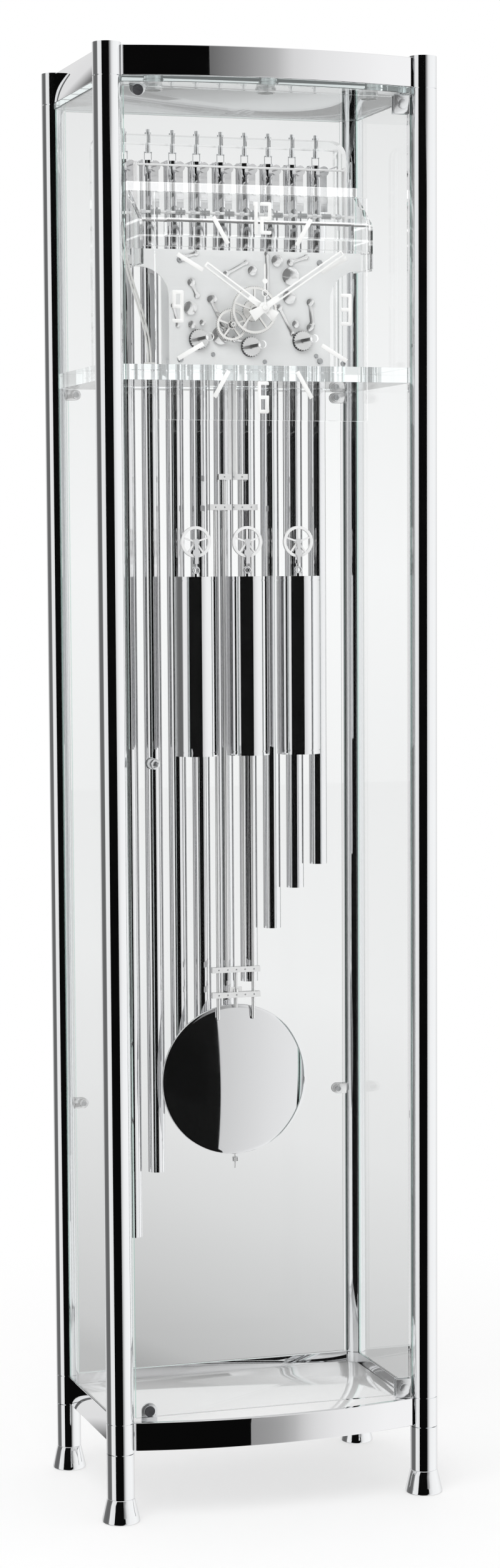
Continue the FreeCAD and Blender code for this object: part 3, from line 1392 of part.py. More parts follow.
def make_movement_pillars():
    """Four pillars between the plates and three posts that hold the ends of the cables."""
    between = (FRONT_PLATE[1], BACK_PLATE[0])
    x = S.back_plate_half - S.pillar_inset
    pillars = []
    for tag, side, z in (
        ("LowLeft", -1, SHELF_TOP + S.pillar_inset), ("LowRight", 1, SHELF_TOP + S.pillar_inset),
        ("HighLeft", -1, BACK_PLATE_TOP - S.pillar_inset),
        ("HighRight", 1, BACK_PLATE_TOP - S.pillar_inset),
    ):
        pillars.append(rod("Pillar" + tag, "y", S.pillar_radius, (x * side, z), between))
    for side, place_x in WEIGHT_PLACES.items():
        at = (place_x + S.cable_turn_radius, DRUM_HEIGHTS[side] - S.cable_post_drop)
        pillars.append(rod("CablePost" + side, "y", S.cable_post_radius, at, between))
    sub_part(group("MovementPillars", *pillars), "movement_pillars")


# Hood and dial
def hood_outline():
    """Outer line of the hood in the side view, from the lip to the front."""
    lip_rear = behind(S.hood_lip_setback)
    lip_front = lip_rear - S.sheet_thickness
    front = behind(S.hood_front_setback)
    return [
        (lip_rear, HOOD_TOP), (lip_front, HOOD_TOP),
        (lip_front, HOOD_TOP - S.hood_lip_height),
        (front, HOOD_SHOULDER),
    ]


def make_hood():
    """Clear hood: a bent sheet, two cheeks, two blocks outside them and the dial carrier."""
    inner = S.shoulder_half + S.seat_gap
    outer = inner + S.sheet_thickness
    lip_rear = behind(S.hood_lip_setback)
    front = behind(S.hood_front_setback)
    sheet_line = hood_outline() + [
        (front, FRONT_PLATE_TOP), (front + S.sheet_thickness, FRONT_PLATE_TOP),
        (front + S.sheet_thickness, HOOD_SHOULDER - S.sheet_thickness / 2),
        (lip_rear, HOOD_TOP - S.hood_lip_height - S.sheet_thickness / 2),
    ]
    sheet = padded("HoodSheet", "YZ_Plane", [sheet_line], inner * 2, (-inner, ZERO, ZERO))
    cheek_line = hood_outline() + [
        (front, HOOD_CHEEK_BASE), (lip_rear, HOOD_CHEEK_BASE),
    ]
    block_y = about((FRONT_PLATE[0] + FRONT_PLATE[1]) / 2, S.hood_block_depth)
    block_z = (HOOD_CHEEK_BASE, FRONT_PLATE_TOP)
    pieces = [sheet]
    for side, tag in ((-1, "Left"), (1, "Right")):
        start = inner if side > 0 else -outer
        pieces.append(padded(
            "HoodCheek" + tag, "YZ_Plane", [cheek_line], S.sheet_thickness,
            (start, ZERO, ZERO),
        ))
        x = (outer, outer + S.hood_block_width) if side > 0 else (-outer - S.hood_block_width, -outer)
        pieces.append(box("HoodBlock" + tag, x, block_y, block_z))
    pieces.append(box(
        "DialCarrier", both(S.carrier_half), (DIAL[1], front),
        (CARRIER_BASE, CARRIER_BASE + S.carrier_height),
    ))
    sub_part(fuse("Hood", *pieces), "hood")


def make_dial_plate():
    """Square clear dial with a hole for the hands and three for the winding key."""
    half = S.dial_size / 2
    loops = [
        rectangle(both(half), about(DIAL_HEIGHT, S.dial_size)),
        Round(ZERO, DIAL_HEIGHT, S.dial_hole_radius),
    ]
    for side, x in WEIGHT_PLACES.items():
        loops.append(Round(x, DRUM_HEIGHTS[side], S.winding_hole_radius))
    corner = (ZERO, DIAL[1], ZERO)
    sub_part(padded("DialPlate", "XZ_Plane", loops, S.sheet_thickness, corner), "dial_plate")


def flat_box(x, y, z):
    """A plain block shape from three ranges."""
    low = FreeCAD.Vector(float(x[0]), float(y[0]), float(z[0]))
    return Part.makeBox(
        float(x[1]) - float(x[0]), float(y[1]) - float(y[0]), float(z[1]) - float(z[0]), low,
    )


NUMERAL_STROKES = {
    "2": ("bottom", "middle", "top", "upper_right", "lower_left"),
    "3": ("bottom", "middle", "top", "upper_right", "lower_right"),
    "6": ("bottom", "middle", "top", "upper_left", "lower_left", "lower_right"),
    "9": ("bottom", "middle", "top", "upper_left", "upper_right", "lower_right"),
}


def numeral_shape(digit, centre_x, centre_z, width, depth):
    """A squared digit built of straight strokes, with its outer corners rounded."""
    stroke = float(S.numeral_stroke)
    height = float(S.numeral_height)
    left = float(centre_x) - float(width) / 2
    right = left + float(width)
    low = float(centre_z) - height / 2
    high = low + height
    middle = float(centre_z)
    ranges = {
        "bottom": ((left, right), (low, low + stroke)),
        "middle": ((left, right), (middle - stroke / 2, middle + stroke / 2)),
        "top": ((left, right), (high - stroke, high)),
        "upper_left": ((left, left + stroke), (middle, high)),
        "upper_right": ((right - stroke, right), (middle, high)),
        "lower_left": ((left, left + stroke), (low, middle)),
        "lower_right": ((right - stroke, right), (low, middle)),
    }
    blocks = [flat_box(ranges[name][0], depth, ranges[name][1]) for name in NUMERAL_STROKES[digit]]
    shape = blocks[0].multiFuse(blocks[1:]).removeSplitter()
    corners = []
    for edge in shape.Edges:
        point = edge.Vertexes[0].Point
        at_side = min(abs(point.x - left), abs(point.x - right)) < float(S.slip_fit)
        at_end = min(abs(point.z - low), abs(point.z - high)) < float(S.slip_fit)
        if at_side and at_end and edge.BoundBox.YLength > float(S.marker_thickness) / 2:
            corners.append(edge)
    return shape.makeFillet(stroke / 2, corners)


def make_dial_markers():
    """White numerals 12, 3, 6 and 9 and eight batons on the face of the dial."""
    depth = (float(DIAL[0] - S.marker_thickness), float(DIAL[0]))
    middle = float(DIAL_HEIGHT)
    radius = float(S.numeral_radius)
    width = float(S.numeral_width)
    pair = float(S.one_width + S.numeral_gap) + width
    one_left = -pair / 2
    one_right = one_left + float(S.one_width)
    top = (middle + radius - float(S.numeral_height) / 2, middle + radius + float(S.numeral_height) / 2)
    shapes = [
        flat_box((one_right - float(S.numeral_stroke), one_right), depth, top),
        numeral_shape("2", pair / 2 - width / 2, middle + radius, width, depth),
        numeral_shape("3", radius, middle, width, depth),
        numeral_shape("6", 0, middle - radius, width, depth),
        numeral_shape("9", -radius, middle, width, depth),
    ]
    flag = flat_box((one_left, one_right), depth, (top[1] - float(S.numeral_stroke), top[1]))
    shapes[0] = shapes[0].fuse(flag).removeSplitter()
    half = float(S.marker_width) / 2
    for hour in (1, 2, 4, 5, 7, 8, 10, 11):
        baton = flat_box(
            (-half, half), depth, (middle + float(S.marker_inner), middle + float(S.marker_outer)),
        )
        baton.rotate(FreeCAD.Vector(0, 0, middle), FreeCAD.Vector(0, 1, 0), 30 * hour)
        shapes.append(baton)
    sub_part(feature("DialMarkers", Part.makeCompound(shapes)), "dial_markers")


# Hands
def hand_face(length):
    """Y of the faces of the three hands, the hour hand nearest the dial."""
    return {
        "hour": DIAL[0] - S.hour_hand_reach,
        "minute": DIAL[0] - S.hour_hand_reach - S.hand_step,
        "seconds": DIAL[0] - S.hour_hand_reach - S.hand_step * 2,
    }[length]


def make_open_hand(name, length, face, bore, degrees):
    """An open baton hand with a solid root, a flared tail and a hub, turned to its time."""
    half = S.hand_width / 2
    tail_half = S.hand_tail_width / 2
    outline = [
        (-half, ZERO), (-half, length), (half, length), (half, ZERO),
        (tail_half, -S.hand_tail), (-tail_half, -S.hand_tail),
    ]
    window = rectangle(both(half - S.hand_line), (S.hand_solid, length - S.hand_line))
    centre = (ZERO, face + S.hand_thickness, DIAL_HEIGHT)
    origin = (ZERO, ZERO)
    depth = (-S.hand_thickness, ZERO)
    blade = padded(name + "Blade", "XZ_Plane", [outline, window], S.hand_thickness, (ZERO, ZERO, ZERO))
    hub = rod(name + "Hub", "y", S.hand_hub_radius, origin, depth)
    hole = rod(name + "Hole", "y", bore, origin, longer(depth, S.cut_overrun))
    hand = cut(name, fuse(name + "Blank", blade, hub), hole)
    hand.Placement = FreeCAD.Placement(FreeCAD.Vector(), FreeCAD.Rotation(FreeCAD.Vector(0, 1, 0), degrees))
    place(hand, *centre)
    return hand


def make_hands():
    """Hour, minute and seconds hands on their concentric pipes."""
    hour_bore = S.hour_pipe_radius + S.slip_fit / 2
    minute_bore = S.minute_pipe_radius + S.slip_fit / 2
    sub_part(
        make_open_hand("HourHand", S.hour_hand_length, hand_face("hour"), hour_bore, HOUR_HAND_DEGREES),
        "hour_hand",
    )
    sub_part(
        make_open_hand(
            "MinuteHand", S.minute_hand_length, hand_face("minute"), minute_bore, MINUTE_HAND_DEGREES,
        ),
        "minute_hand",
    )
    face = hand_face("seconds")
    depth = (face, face + S.seconds_thickness)
    axis = (ZERO, DIAL_HEIGHT)
    ring_at = (ZERO, DIAL_HEIGHT + S.seconds_ring_place)
    disc_at = (ZERO, DIAL_HEIGHT + S.seconds_disc_place)
    bar_half = S.seconds_bar_width / 2
    bar = box(
        "SecondsBar", both(bar_half), depth,
        (DIAL_HEIGHT, DIAL_HEIGHT + S.seconds_hand_length),
    )
    hub = rod("SecondsHub", "y", S.minute_pipe_radius + bar_half, axis, depth)
    disc = rod("SecondsDisc", "y", S.seconds_disc_radius, disc_at, depth)
    loop = rod("SecondsRing", "y", S.seconds_ring_radius, ring_at, depth)
    loop_hole = rod(
        "SecondsRingHole", "y", S.seconds_ring_radius - S.seconds_bar_width / 2, ring_at,
        longer(depth, S.cut_overrun),
    )
    blade = fuse("SecondsBlade", cut("SecondsBlank", fuse("SecondsFlat", bar, loop), loop_hole), disc, hub)
    arbor_ends = (face - S.seconds_thickness, BACK_PLATE[1])
    arbor = rod("SecondsArbor", "y", S.seconds_arbor_radius, axis, arbor_ends)
    sub_part(fuse("SecondsHand", blade, arbor), "seconds_hand")


# Wheels
def toothed_outline(teeth, module, phase):
    """Corner points of a wheel with straight-sided teeth, one tooth centred on the phase."""
    pitch_radius = module * teeth / 2
    tip = pitch_radius + TIP_HEIGHT_SHARE * module
    root = pitch_radius - ROOT_DEPTH_SHARE * module
    spacing = 2 * math.pi / teeth
    corners = []
    for index in range(teeth):
        centre = phase + index * spacing
        for radius, share in (
            (root, -ROOT_HALF_SHARE), (tip, -TIP_HALF_SHARE), (tip, TIP_HALF_SHARE), (root, ROOT_HALF_SHARE),
        ):
            angle = centre + share * spacing
            corners.append((radius * math.cos(angle), radius * math.sin(angle)))
    return corners, root


def hooked_outline(teeth, tip, depth, lean_share):
    """Corner points of a wheel with pointed, leaning teeth."""
    spacing = 2 * math.pi / teeth
    root = tip - depth
    corners = []
    for index in range(teeth):
        angle = index * spacing
        corners.append((root * math.cos(angle), root * math.sin(angle)))
        lean = angle + lean_share * spacing
        corners.append((tip * math.cos(lean), tip * math.sin(lean)))
    return corners, root


def prism(corners, x, z, depth):
    """A prism with its outline in the XZ plane."""
    front = float(depth[0])
    points = [FreeCAD.Vector(float(x) + a, front, float(z) + b) for a, b in corners]
    face = Part.Face(Part.makePolygon(points + points[:1]))
    return face.extrude(FreeCAD.Vector(0, float(depth[1]) - front, 0))


def disc_shape(radius, x, z, depth):
    """A plain cylinder shape along Y."""
    front = float(depth[0])
    return Part.makeCylinder(
        float(radius), float(depth[1]) - front, FreeCAD.Vector(float(x), front, float(z)),
        FreeCAD.Vector(0, 1, 0),
    )


def open_wheel(outline, root, x, z, depth, hub):
    """A toothed wheel with open spaces between its spokes."""
    blank = prism(outline, x, z, depth)
    past = (float(depth[0]) - float(S.cut_overrun), float(depth[1]) + float(S.cut_overrun))
    ring_space = disc_shape(root - float(S.rim_width), x, z, past).cut(disc_shape(hub, x, z, past))
    half = float(S.spoke_width) / 2
    for index in range(WHEEL_SPOKES):
        spoke = flat_box((float(x) - half, float(x) + half), past, (float(z), float(z) + root))
        turn = 360 * index / WHEEL_SPOKES
        spoke.rotate(FreeCAD.Vector(float(x), 0, float(z)), FreeCAD.Vector(0, 1, 0), turn)
        ring_space = ring_space.cut(spoke)
    return blank.cut(ring_space)


def minute_wheel_place():
    """Axis of the minute wheel, one mesh distance from the middle of the dial."""
    distance = S.tooth_module * (MINUTE_PINION_TEETH + MINUTE_WHEEL_TEETH) / 2
    x = distance * cosine(MINUTE_WHEEL_DEGREES)
    z = DIAL_HEIGHT + distance * sine(MINUTE_WHEEL_DEGREES)
    return x, z


def make_motion_work():
    """Hour wheel with its pipe, minute wheel with its pinion, and the minute pipe."""
    module = float(S.tooth_module)
    mesh = math.radians(MINUTE_WHEEL_DEGREES)
    facing = mesh + math.pi
    middle = float(DIAL_HEIGHT)
    hour_depth = (
        float(behind(S.hour_wheel_setback)), float(behind(S.hour_wheel_setback + S.wheel_thickness)),
    )
    minute_depth = (
        float(behind(S.minute_wheel_setback)), float(behind(S.minute_wheel_setback + S.wheel_thickness)),
    )
    hour_outline, hour_root = toothed_outline(HOUR_WHEEL_TEETH, module, mesh)
    hour_pipe = disc_shape(S.hour_pipe_radius, 0, middle, (float(hand_face("hour")), hour_depth[1]))
    hour_bore = disc_shape(
        S.minute_pipe_radius + S.pipe_fit, 0, middle,
        (float(hand_face("hour") - S.cut_overrun), hour_depth[1] + float(S.cut_overrun)),
    )
    hub = S.hour_pipe_radius + S.rim_width
    hour_wheel = open_wheel(hour_outline, hour_root, 0, middle, hour_depth, hub)
    hour_shape = hour_wheel.fuse(hour_pipe).cut(hour_bore)
    sub_part(feature("HourWheel", hour_shape), "hour_wheel")

    pinion_outline, pinion_root = toothed_outline(MINUTE_PINION_TEETH, module, mesh)
    pinion = prism(pinion_outline, 0, middle, minute_depth)
    pipe_ends = (float(hand_face("minute")), float(FRONT_PLATE[1] + S.pipe_end))
    minute_pipe = disc_shape(S.minute_pipe_radius, 0, middle, pipe_ends)
    collar = disc_shape(
        S.hour_pipe_radius, 0, middle, (float(FRONT_PLATE[1] + S.seat_gap), pipe_ends[1]),
    )
    minute_bore = disc_shape(
        S.seconds_arbor_radius + S.pipe_fit, 0, middle,
        (pipe_ends[0] - float(S.cut_overrun), pipe_ends[1] + float(S.cut_overrun)),
    )
    pipe_shape = pinion.fuse([minute_pipe, collar]).removeSplitter().cut(minute_bore)
    sub_part(feature("CannonPinion", pipe_shape), "cannon_pinion")

    x, z = minute_wheel_place()
    wheel_outline, wheel_root = toothed_outline(
        MINUTE_WHEEL_TEETH, module, facing + math.pi / MINUTE_WHEEL_TEETH,
    )
    small_outline, small_root = toothed_outline(
        HOUR_PINION_TEETH, module, facing + math.pi / HOUR_PINION_TEETH,
    )
    small = prism(small_outline, x, z, (hour_depth[0], minute_depth[0]))
    wheel = open_wheel(wheel_outline, wheel_root, x, z, minute_depth, small_root + float(S.rim_width))
    boss = disc_shape(small_root, x, z, minute_depth)
    bore = disc_shape(
        S.minute_stud_radius + S.running_fit, x, z,
        (hour_depth[0] - float(S.cut_overrun), minute_depth[1] + float(S.cut_overrun)),
    )
    wheel_shape = wheel.fuse([small, boss]).removeSplitter().cut(bore)
    sub_part(feature("MinuteWheel", wheel_shape), "minute_wheel")


def make_escape_wheel():
    """Escape wheel on the seconds arbor."""
    depth = (float(behind(S.escape_setback)), float(behind(S.escape_setback + S.wheel_thickness)))
    outline, root = hooked_outline(
        ESCAPE_TEETH, float(S.escape_radius), float(S.escape_tooth), ROOT_HALF_SHARE,
    )
    middle = float(DIAL_HEIGHT)
    hub = S.seconds_arbor_radius + S.rim_width
    wheel = open_wheel(outline, root, 0, middle, depth, hub)
    bore = disc_shape(
        S.seconds_arbor_radius, 0, middle,
        (depth[0] - float(S.cut_overrun), depth[1] + float(S.cut_overrun)),
    )
    sub_part(feature("EscapeWheel", wheel.cut(bore)), "escape_wheel")


def make_anchor():
    """Anchor over the escape wheel, its arbor, and the crutch behind the back plate."""
    depth = (float(behind(S.escape_setback)), float(behind(S.escape_setback + S.wheel_thickness)))
    pallet_radius = float(S.escape_radius + S.anchor_clearance)
    line = float(S.anchor_line)
    tip_x = pallet_radius * sine(PALLET_DEGREES)
    tip_z = float(DIAL_HEIGHT) + pallet_radius * cosine(PALLET_DEGREES)
    top = float(PIVOT_HEIGHT)
    hub = float(S.anchor_hub_radius)
    right_side = [
        (0, top + hub), (hub, top), (tip_x + line, tip_z + line), (tip_x, tip_z),
        (tip_x - line / 2, tip_z + line), (0, top - hub),
    ]
    left_side = [(-x, z) for x, z in reversed(right_side[1:-1])]
    fork = prism(right_side + left_side, 0, 0, depth)
    boss = disc_shape(hub, 0, top, depth)
    arbor_end = float(BACK_PLATE[1] + S.anchor_tail)
    arbor = disc_shape(S.anchor_arbor_radius, 0, top, (float(FRONT_PLATE[0]), arbor_end))
    crutch_front = arbor_end - float(S.crutch_thickness)
    half = float(S.crutch_width) / 2
    pin_z = top - float(S.crutch_drop)
    strip = flat_box((-half, half), (crutch_front, arbor_end), (pin_z - half, top + half))
    pin = disc_shape(S.crutch_pin_radius, 0, pin_z, (crutch_front, float(PENDULUM_LINE + S.crutch_width)))
    shape = fork.fuse([boss, arbor, strip, pin]).removeSplitter()
    sub_part(feature("Anchor", shape), "anchor")


def make_drum(side):
    """One cable drum with its flanges, winding arbor, ratchet wheel and rear pivot."""
    x = float(WEIGHT_PLACES[side])
    z = float(DRUM_HEIGHTS[side])
    middle = float(WEIGHT_LINE)
    half = float(S.drum_width) / 2
    flange = float(S.drum_flange_thickness)
    barrel_radius = float(S.cable_turn_radius - S.cable_radius)
    ratchet_back = float(FRONT_PLATE[0] - S.ratchet_gap)
    ratchet = (ratchet_back - float(S.ratchet_thickness), ratchet_back)
    outline, root = hooked_outline(
        RATCHET_TEETH, float(S.ratchet_radius), float(S.ratchet_tooth), ROOT_HALF_SHARE,
    )
    arbor_front = float(behind(S.winding_reach))
    square = float(S.drum_arbor_radius) * math.sqrt(2) / 2
    square_end = ratchet[0] - float(S.rim_width)
    pieces = [
        disc_shape(barrel_radius, x, z, (middle - half, middle + half)),
        disc_shape(S.drum_flange_radius, x, z, (middle - half - flange, middle - half)),
        disc_shape(S.drum_flange_radius, x, z, (middle + half, middle + half + flange)),
        disc_shape(S.drum_arbor_radius, x, z, (square_end, middle)),
        flat_box((x - square, x + square), (arbor_front, square_end), (z - square, z + square)),
        disc_shape(S.drum_pivot_radius, x, z, (middle, float(BACK_PLATE[1]))),
        prism(outline, x, z, ratchet),
    ]
    shape = pieces[0].multiFuse(pieces[1:]).removeSplitter()
    sub_part(feature("Drum" + side.capitalize(), shape), "drum_" + side)


# Small levers and wheels on the front plate.
# Places are shares of half the plate's width and of its height above the shelf.
# Radii and widths are shares of half the plate's width.
DISC_PLACE_SHARES = (
    (0.50, 0.79, 0.105), (0.48, 0.61, 0.080), (-0.75, 0.50, 0.080), (-0.38, 0.27, 0.105),
    (-0.73, 0.36, 0.045), (-0.60, 0.38, 0.035), (0.56, 0.38, 0.045), (0.74, 0.35, 0.045),
    (0.33, 0.92, 0.070), (-0.47, 0.58, 0.050), (0.02, 0.83, 0.055),
)
LEVER_PLACE_SHARES = (
    (-0.49, 0.58, -0.32, 0.32, 0.045), (-0.73, 0.72, -0.66, 0.61, 0.045),
    (0.75, 0.57, 0.77, 0.38, 0.045), (0.21, 0.62, 0.21, 0.98, 0.040),
    (-0.84, 0.93, -0.67, 0.97, 0.040), (0.50, 0.91, 0.70, 0.96, 0.040),
    (-0.30, 0.80, -0.05, 0.90, 0.035), (0.36, 0.52, 0.52, 0.30, 0.035),
    (-0.95, 0.52, -0.90, 0.35, 0.030), (-0.20, 0.24, 0.10, 0.20, 0.035),
)
LEVER_THICKNESS_SHARE = 0.35
STUD_SHARE = 0.35
LEVER_TIP_SHARE = 0.8


def make_front_levers():
    """Strike and chime levers, small wheels and the minute wheel's stud, all on the front plate."""
    half = float(S.front_plate_half)
    base = float(SHELF_TOP)
    height = float(FRONT_PLATE_TOP) - base
    face = float(FRONT_PLATE[0])
    space = float(S.ratchet_gap)
    thick = float(S.ratchet_thickness) * LEVER_THICKNESS_SHARE
    near = (face - thick - float(S.seat_gap), face - float(S.seat_gap))
    shapes = []
    for share_x, share_z, share_r in DISC_PLACE_SHARES:
        x = share_x * half
        z = base + share_z * height
        radius = share_r * half
        stud = disc_shape(radius * STUD_SHARE, x, z, (face - space - thick, face))
        head = disc_shape(radius, x, z, (face - space - thick, face - space))
        shapes.append(head.fuse(stud))
    for x1, z1, x2, z2, share_w in LEVER_PLACE_SHARES:
        start = (x1 * half, base + z1 * height)
        end = (x2 * half, base + z2 * height)
        length = math.hypot(end[0] - start[0], end[1] - start[1])
        angle = math.degrees(math.atan2(end[0] - start[0], end[1] - start[1]))
        width = share_w * half
        bar = flat_box((start[0] - width / 2, start[0] + width / 2), near, (start[1], start[1] + length))
        bar.rotate(FreeCAD.Vector(start[0], 0, start[1]), FreeCAD.Vector(0, 1, 0), angle)
        screw = disc_shape(width, start[0], start[1], (near[0] - thick, face))
        tip = disc_shape(width * LEVER_TIP_SHARE, end[0], end[1], near)
        shapes.append(bar.multiFuse([screw, tip]))
    x, z = minute_wheel_place()
    stud_front = float(behind(S.hour_wheel_setback) - S.hand_thickness)
    shapes.append(disc_shape(S.minute_stud_radius, x, z, (stud_front, face)))
    shape = shapes[0].multiFuse(shapes[1:]).removeSplitter()
    sub_part(feature("FrontLevers", shape), "front_levers")


# Cables, weights and pulleys
def cable_end(side):
    """Height where a cable is held: the underside of its post."""
    return DRUM_HEIGHTS[side] - S.cable_post_drop - S.cable_post_radius


def make_cables():
    """Two straight strands per weight, and the short fixed leads up to the drums."""
    leads = []
    for side, x in WEIGHT_PLACES.items():
        strands = []
        for sign, tag in ((-1, "Drum"), (1, "Post")):
            strands.append(rod(
                f"Cable{side}{tag}", "z", S.cable_radius, (x + S.cable_turn_radius * sign, WEIGHT_LINE),
                (PULLEY_HEIGHT, cable_end(side)),
            ))
        sub_part(group("Cable" + side.capitalize(), *strands), "cable_" + side)
        leads.append(rod(
            f"CableLead{side}", "z", S.cable_radius, (x - S.cable_turn_radius, WEIGHT_LINE),
            (cable_end(side), DRUM_HEIGHTS[side]),
        ))
    sub_part(group("CableLeads", *leads), "cable_leads")


def make_weight(side):
    """One weight: casing with two lids, eye, hook, stirrup, axle and the cable's bend."""
    name = "Weight" + side.capitalize()
    x = WEIGHT_PLACES[side]
    groove = S.weight_radius - S.weight_lid_groove
    top = S.weight_length
    profile = [
        (ZERO, ZERO), (S.weight_radius, ZERO),
        (S.weight_radius, S.weight_lid), (groove, S.weight_lid),
        (groove, S.weight_lid + S.weight_lid_groove),
        (S.weight_radius, S.weight_lid + S.weight_lid_groove),
        (S.weight_radius, top - S.weight_lid - S.weight_lid_groove),
        (groove, top - S.weight_lid - S.weight_lid_groove),
        (groove, top - S.weight_lid), (S.weight_radius, top - S.weight_lid),
        (S.weight_radius, top), (ZERO, top),
    ]
    casing = revolved(name + "Casing", profile, (x, WEIGHT_LINE, WEIGHT_BASE))
    cap = WEIGHT_BASE + S.weight_length
    at = (x, WEIGHT_LINE)
    eye = rod(name + "Eye", "z", S.eye_radius, at, (cap, cap + S.eye_height))
    foot_base = PULLEY_HEIGHT - S.stirrup_length
    ring_height = cap + S.eye_height + S.hook_ring_radius
    hook = ring(name + "Hook", "y", S.hook_ring_radius, S.hook_radius, (x, WEIGHT_LINE, ring_height))
    shank = rod(
        name + "Shank", "z", S.hook_radius, at,
        (ring_height + S.hook_ring_radius - S.hook_radius, foot_base + S.stirrup_foot / 2),
    )
    half_gap = S.pulley_width / 2 + S.stirrup_gap
    outer = half_gap + S.stirrup_cheek
    foot = box(
        name + "Foot", about(x, S.stirrup_width), both_about(WEIGHT_LINE, outer),
        (foot_base, foot_base + S.stirrup_foot),
    )
    axle = rod(
        name + "Axle", "y", S.pulley_axle_radius, (x, PULLEY_HEIGHT),
        both_about(WEIGHT_LINE, outer),
    )
    pieces = [casing, eye, hook, shank, foot, axle]
    knuckle = foot_base + S.stirrup_length / 2
    for sign, tag in ((-1, "Front"), (1, "Rear")):
        near = WEIGHT_LINE + half_gap * sign
        far = WEIGHT_LINE + outer * sign
        y = (near, far) if sign > 0 else (far, near)
        pieces.append(box(
            name + tag + "Strap", about(x, S.stirrup_width), y, (foot_base, PULLEY_HEIGHT),
        ))
        pieces.append(rod(name + tag + "Top", "y", S.pulley_hub_radius, (x, PULLEY_HEIGHT), y))
        pieces.append(rod(name + tag + "Knuckle", "y", S.stirrup_knuckle_radius, (x, knuckle), y))
    solid = fuse(name + "Solid", *pieces)
    bend_ring = ring(
        name + "BendRing", "y", S.cable_turn_radius, S.cable_radius, (x, WEIGHT_LINE, PULLEY_HEIGHT),
    )
    lower_half = box(
        name + "BendHalf", both_about(x, S.drum_flange_radius),
        both_about(WEIGHT_LINE, S.pulley_width),
        (PULLEY_HEIGHT - S.drum_flange_radius, PULLEY_HEIGHT),
    )
    bend = common(name + "CableBend", bend_ring, lower_half)
    sub_part(group(name, solid, bend), "weight_" + side)


def make_pulley(side):
    """One spoked pulley with a round groove."""
    name = "Pulley" + side.capitalize()
    x = WEIGHT_PLACES[side]
    at = (x, PULLEY_HEIGHT)
    ends = both_about(WEIGHT_LINE, S.pulley_width / 2)
    rim = pipe(name + "Rim", "y", S.pulley_rim_radius, S.pulley_rim_inner, at, ends)
    hub = rod(name + "Hub", "y", S.pulley_hub_radius, at, ends)
    pieces = [rim, hub]
    middle_radius = (S.pulley_rim_inner + S.pulley_rim_radius) / 2
    for index in range(PULLEY_SPOKES):
        spoke = box(
            f"{name}Spoke{index}", both(S.pulley_spoke_width / 2), both(S.pulley_spoke_depth / 2),
            (ZERO, S.pulley_rim_inner + S.pulley_groove_gap),
        )
        turned = group(f"{name}Turned{index}", spoke)
        turned.Placement = FreeCAD.Placement(
            FreeCAD.Vector(), FreeCAD.Rotation(FreeCAD.Vector(0, 1, 0), 360 * index / PULLEY_SPOKES),
        )
        place(turned, x, WEIGHT_LINE, PULLEY_HEIGHT)
        pieces.append(turned)
    blank = fuse(name + "Blank", *pieces)
    groove = ring(
        name + "Groove", "y", S.cable_turn_radius, S.cable_radius + S.pulley_groove_gap,
        (x, WEIGHT_LINE, PULLEY_HEIGHT),
    )
    bore = rod(
        name + "Bore", "y", S.pulley_axle_radius + S.running_fit, at, longer(ends, S.cut_overrun),
    )
    sub_part(cut(name, blank, groove, bore), "pulley_" + side)


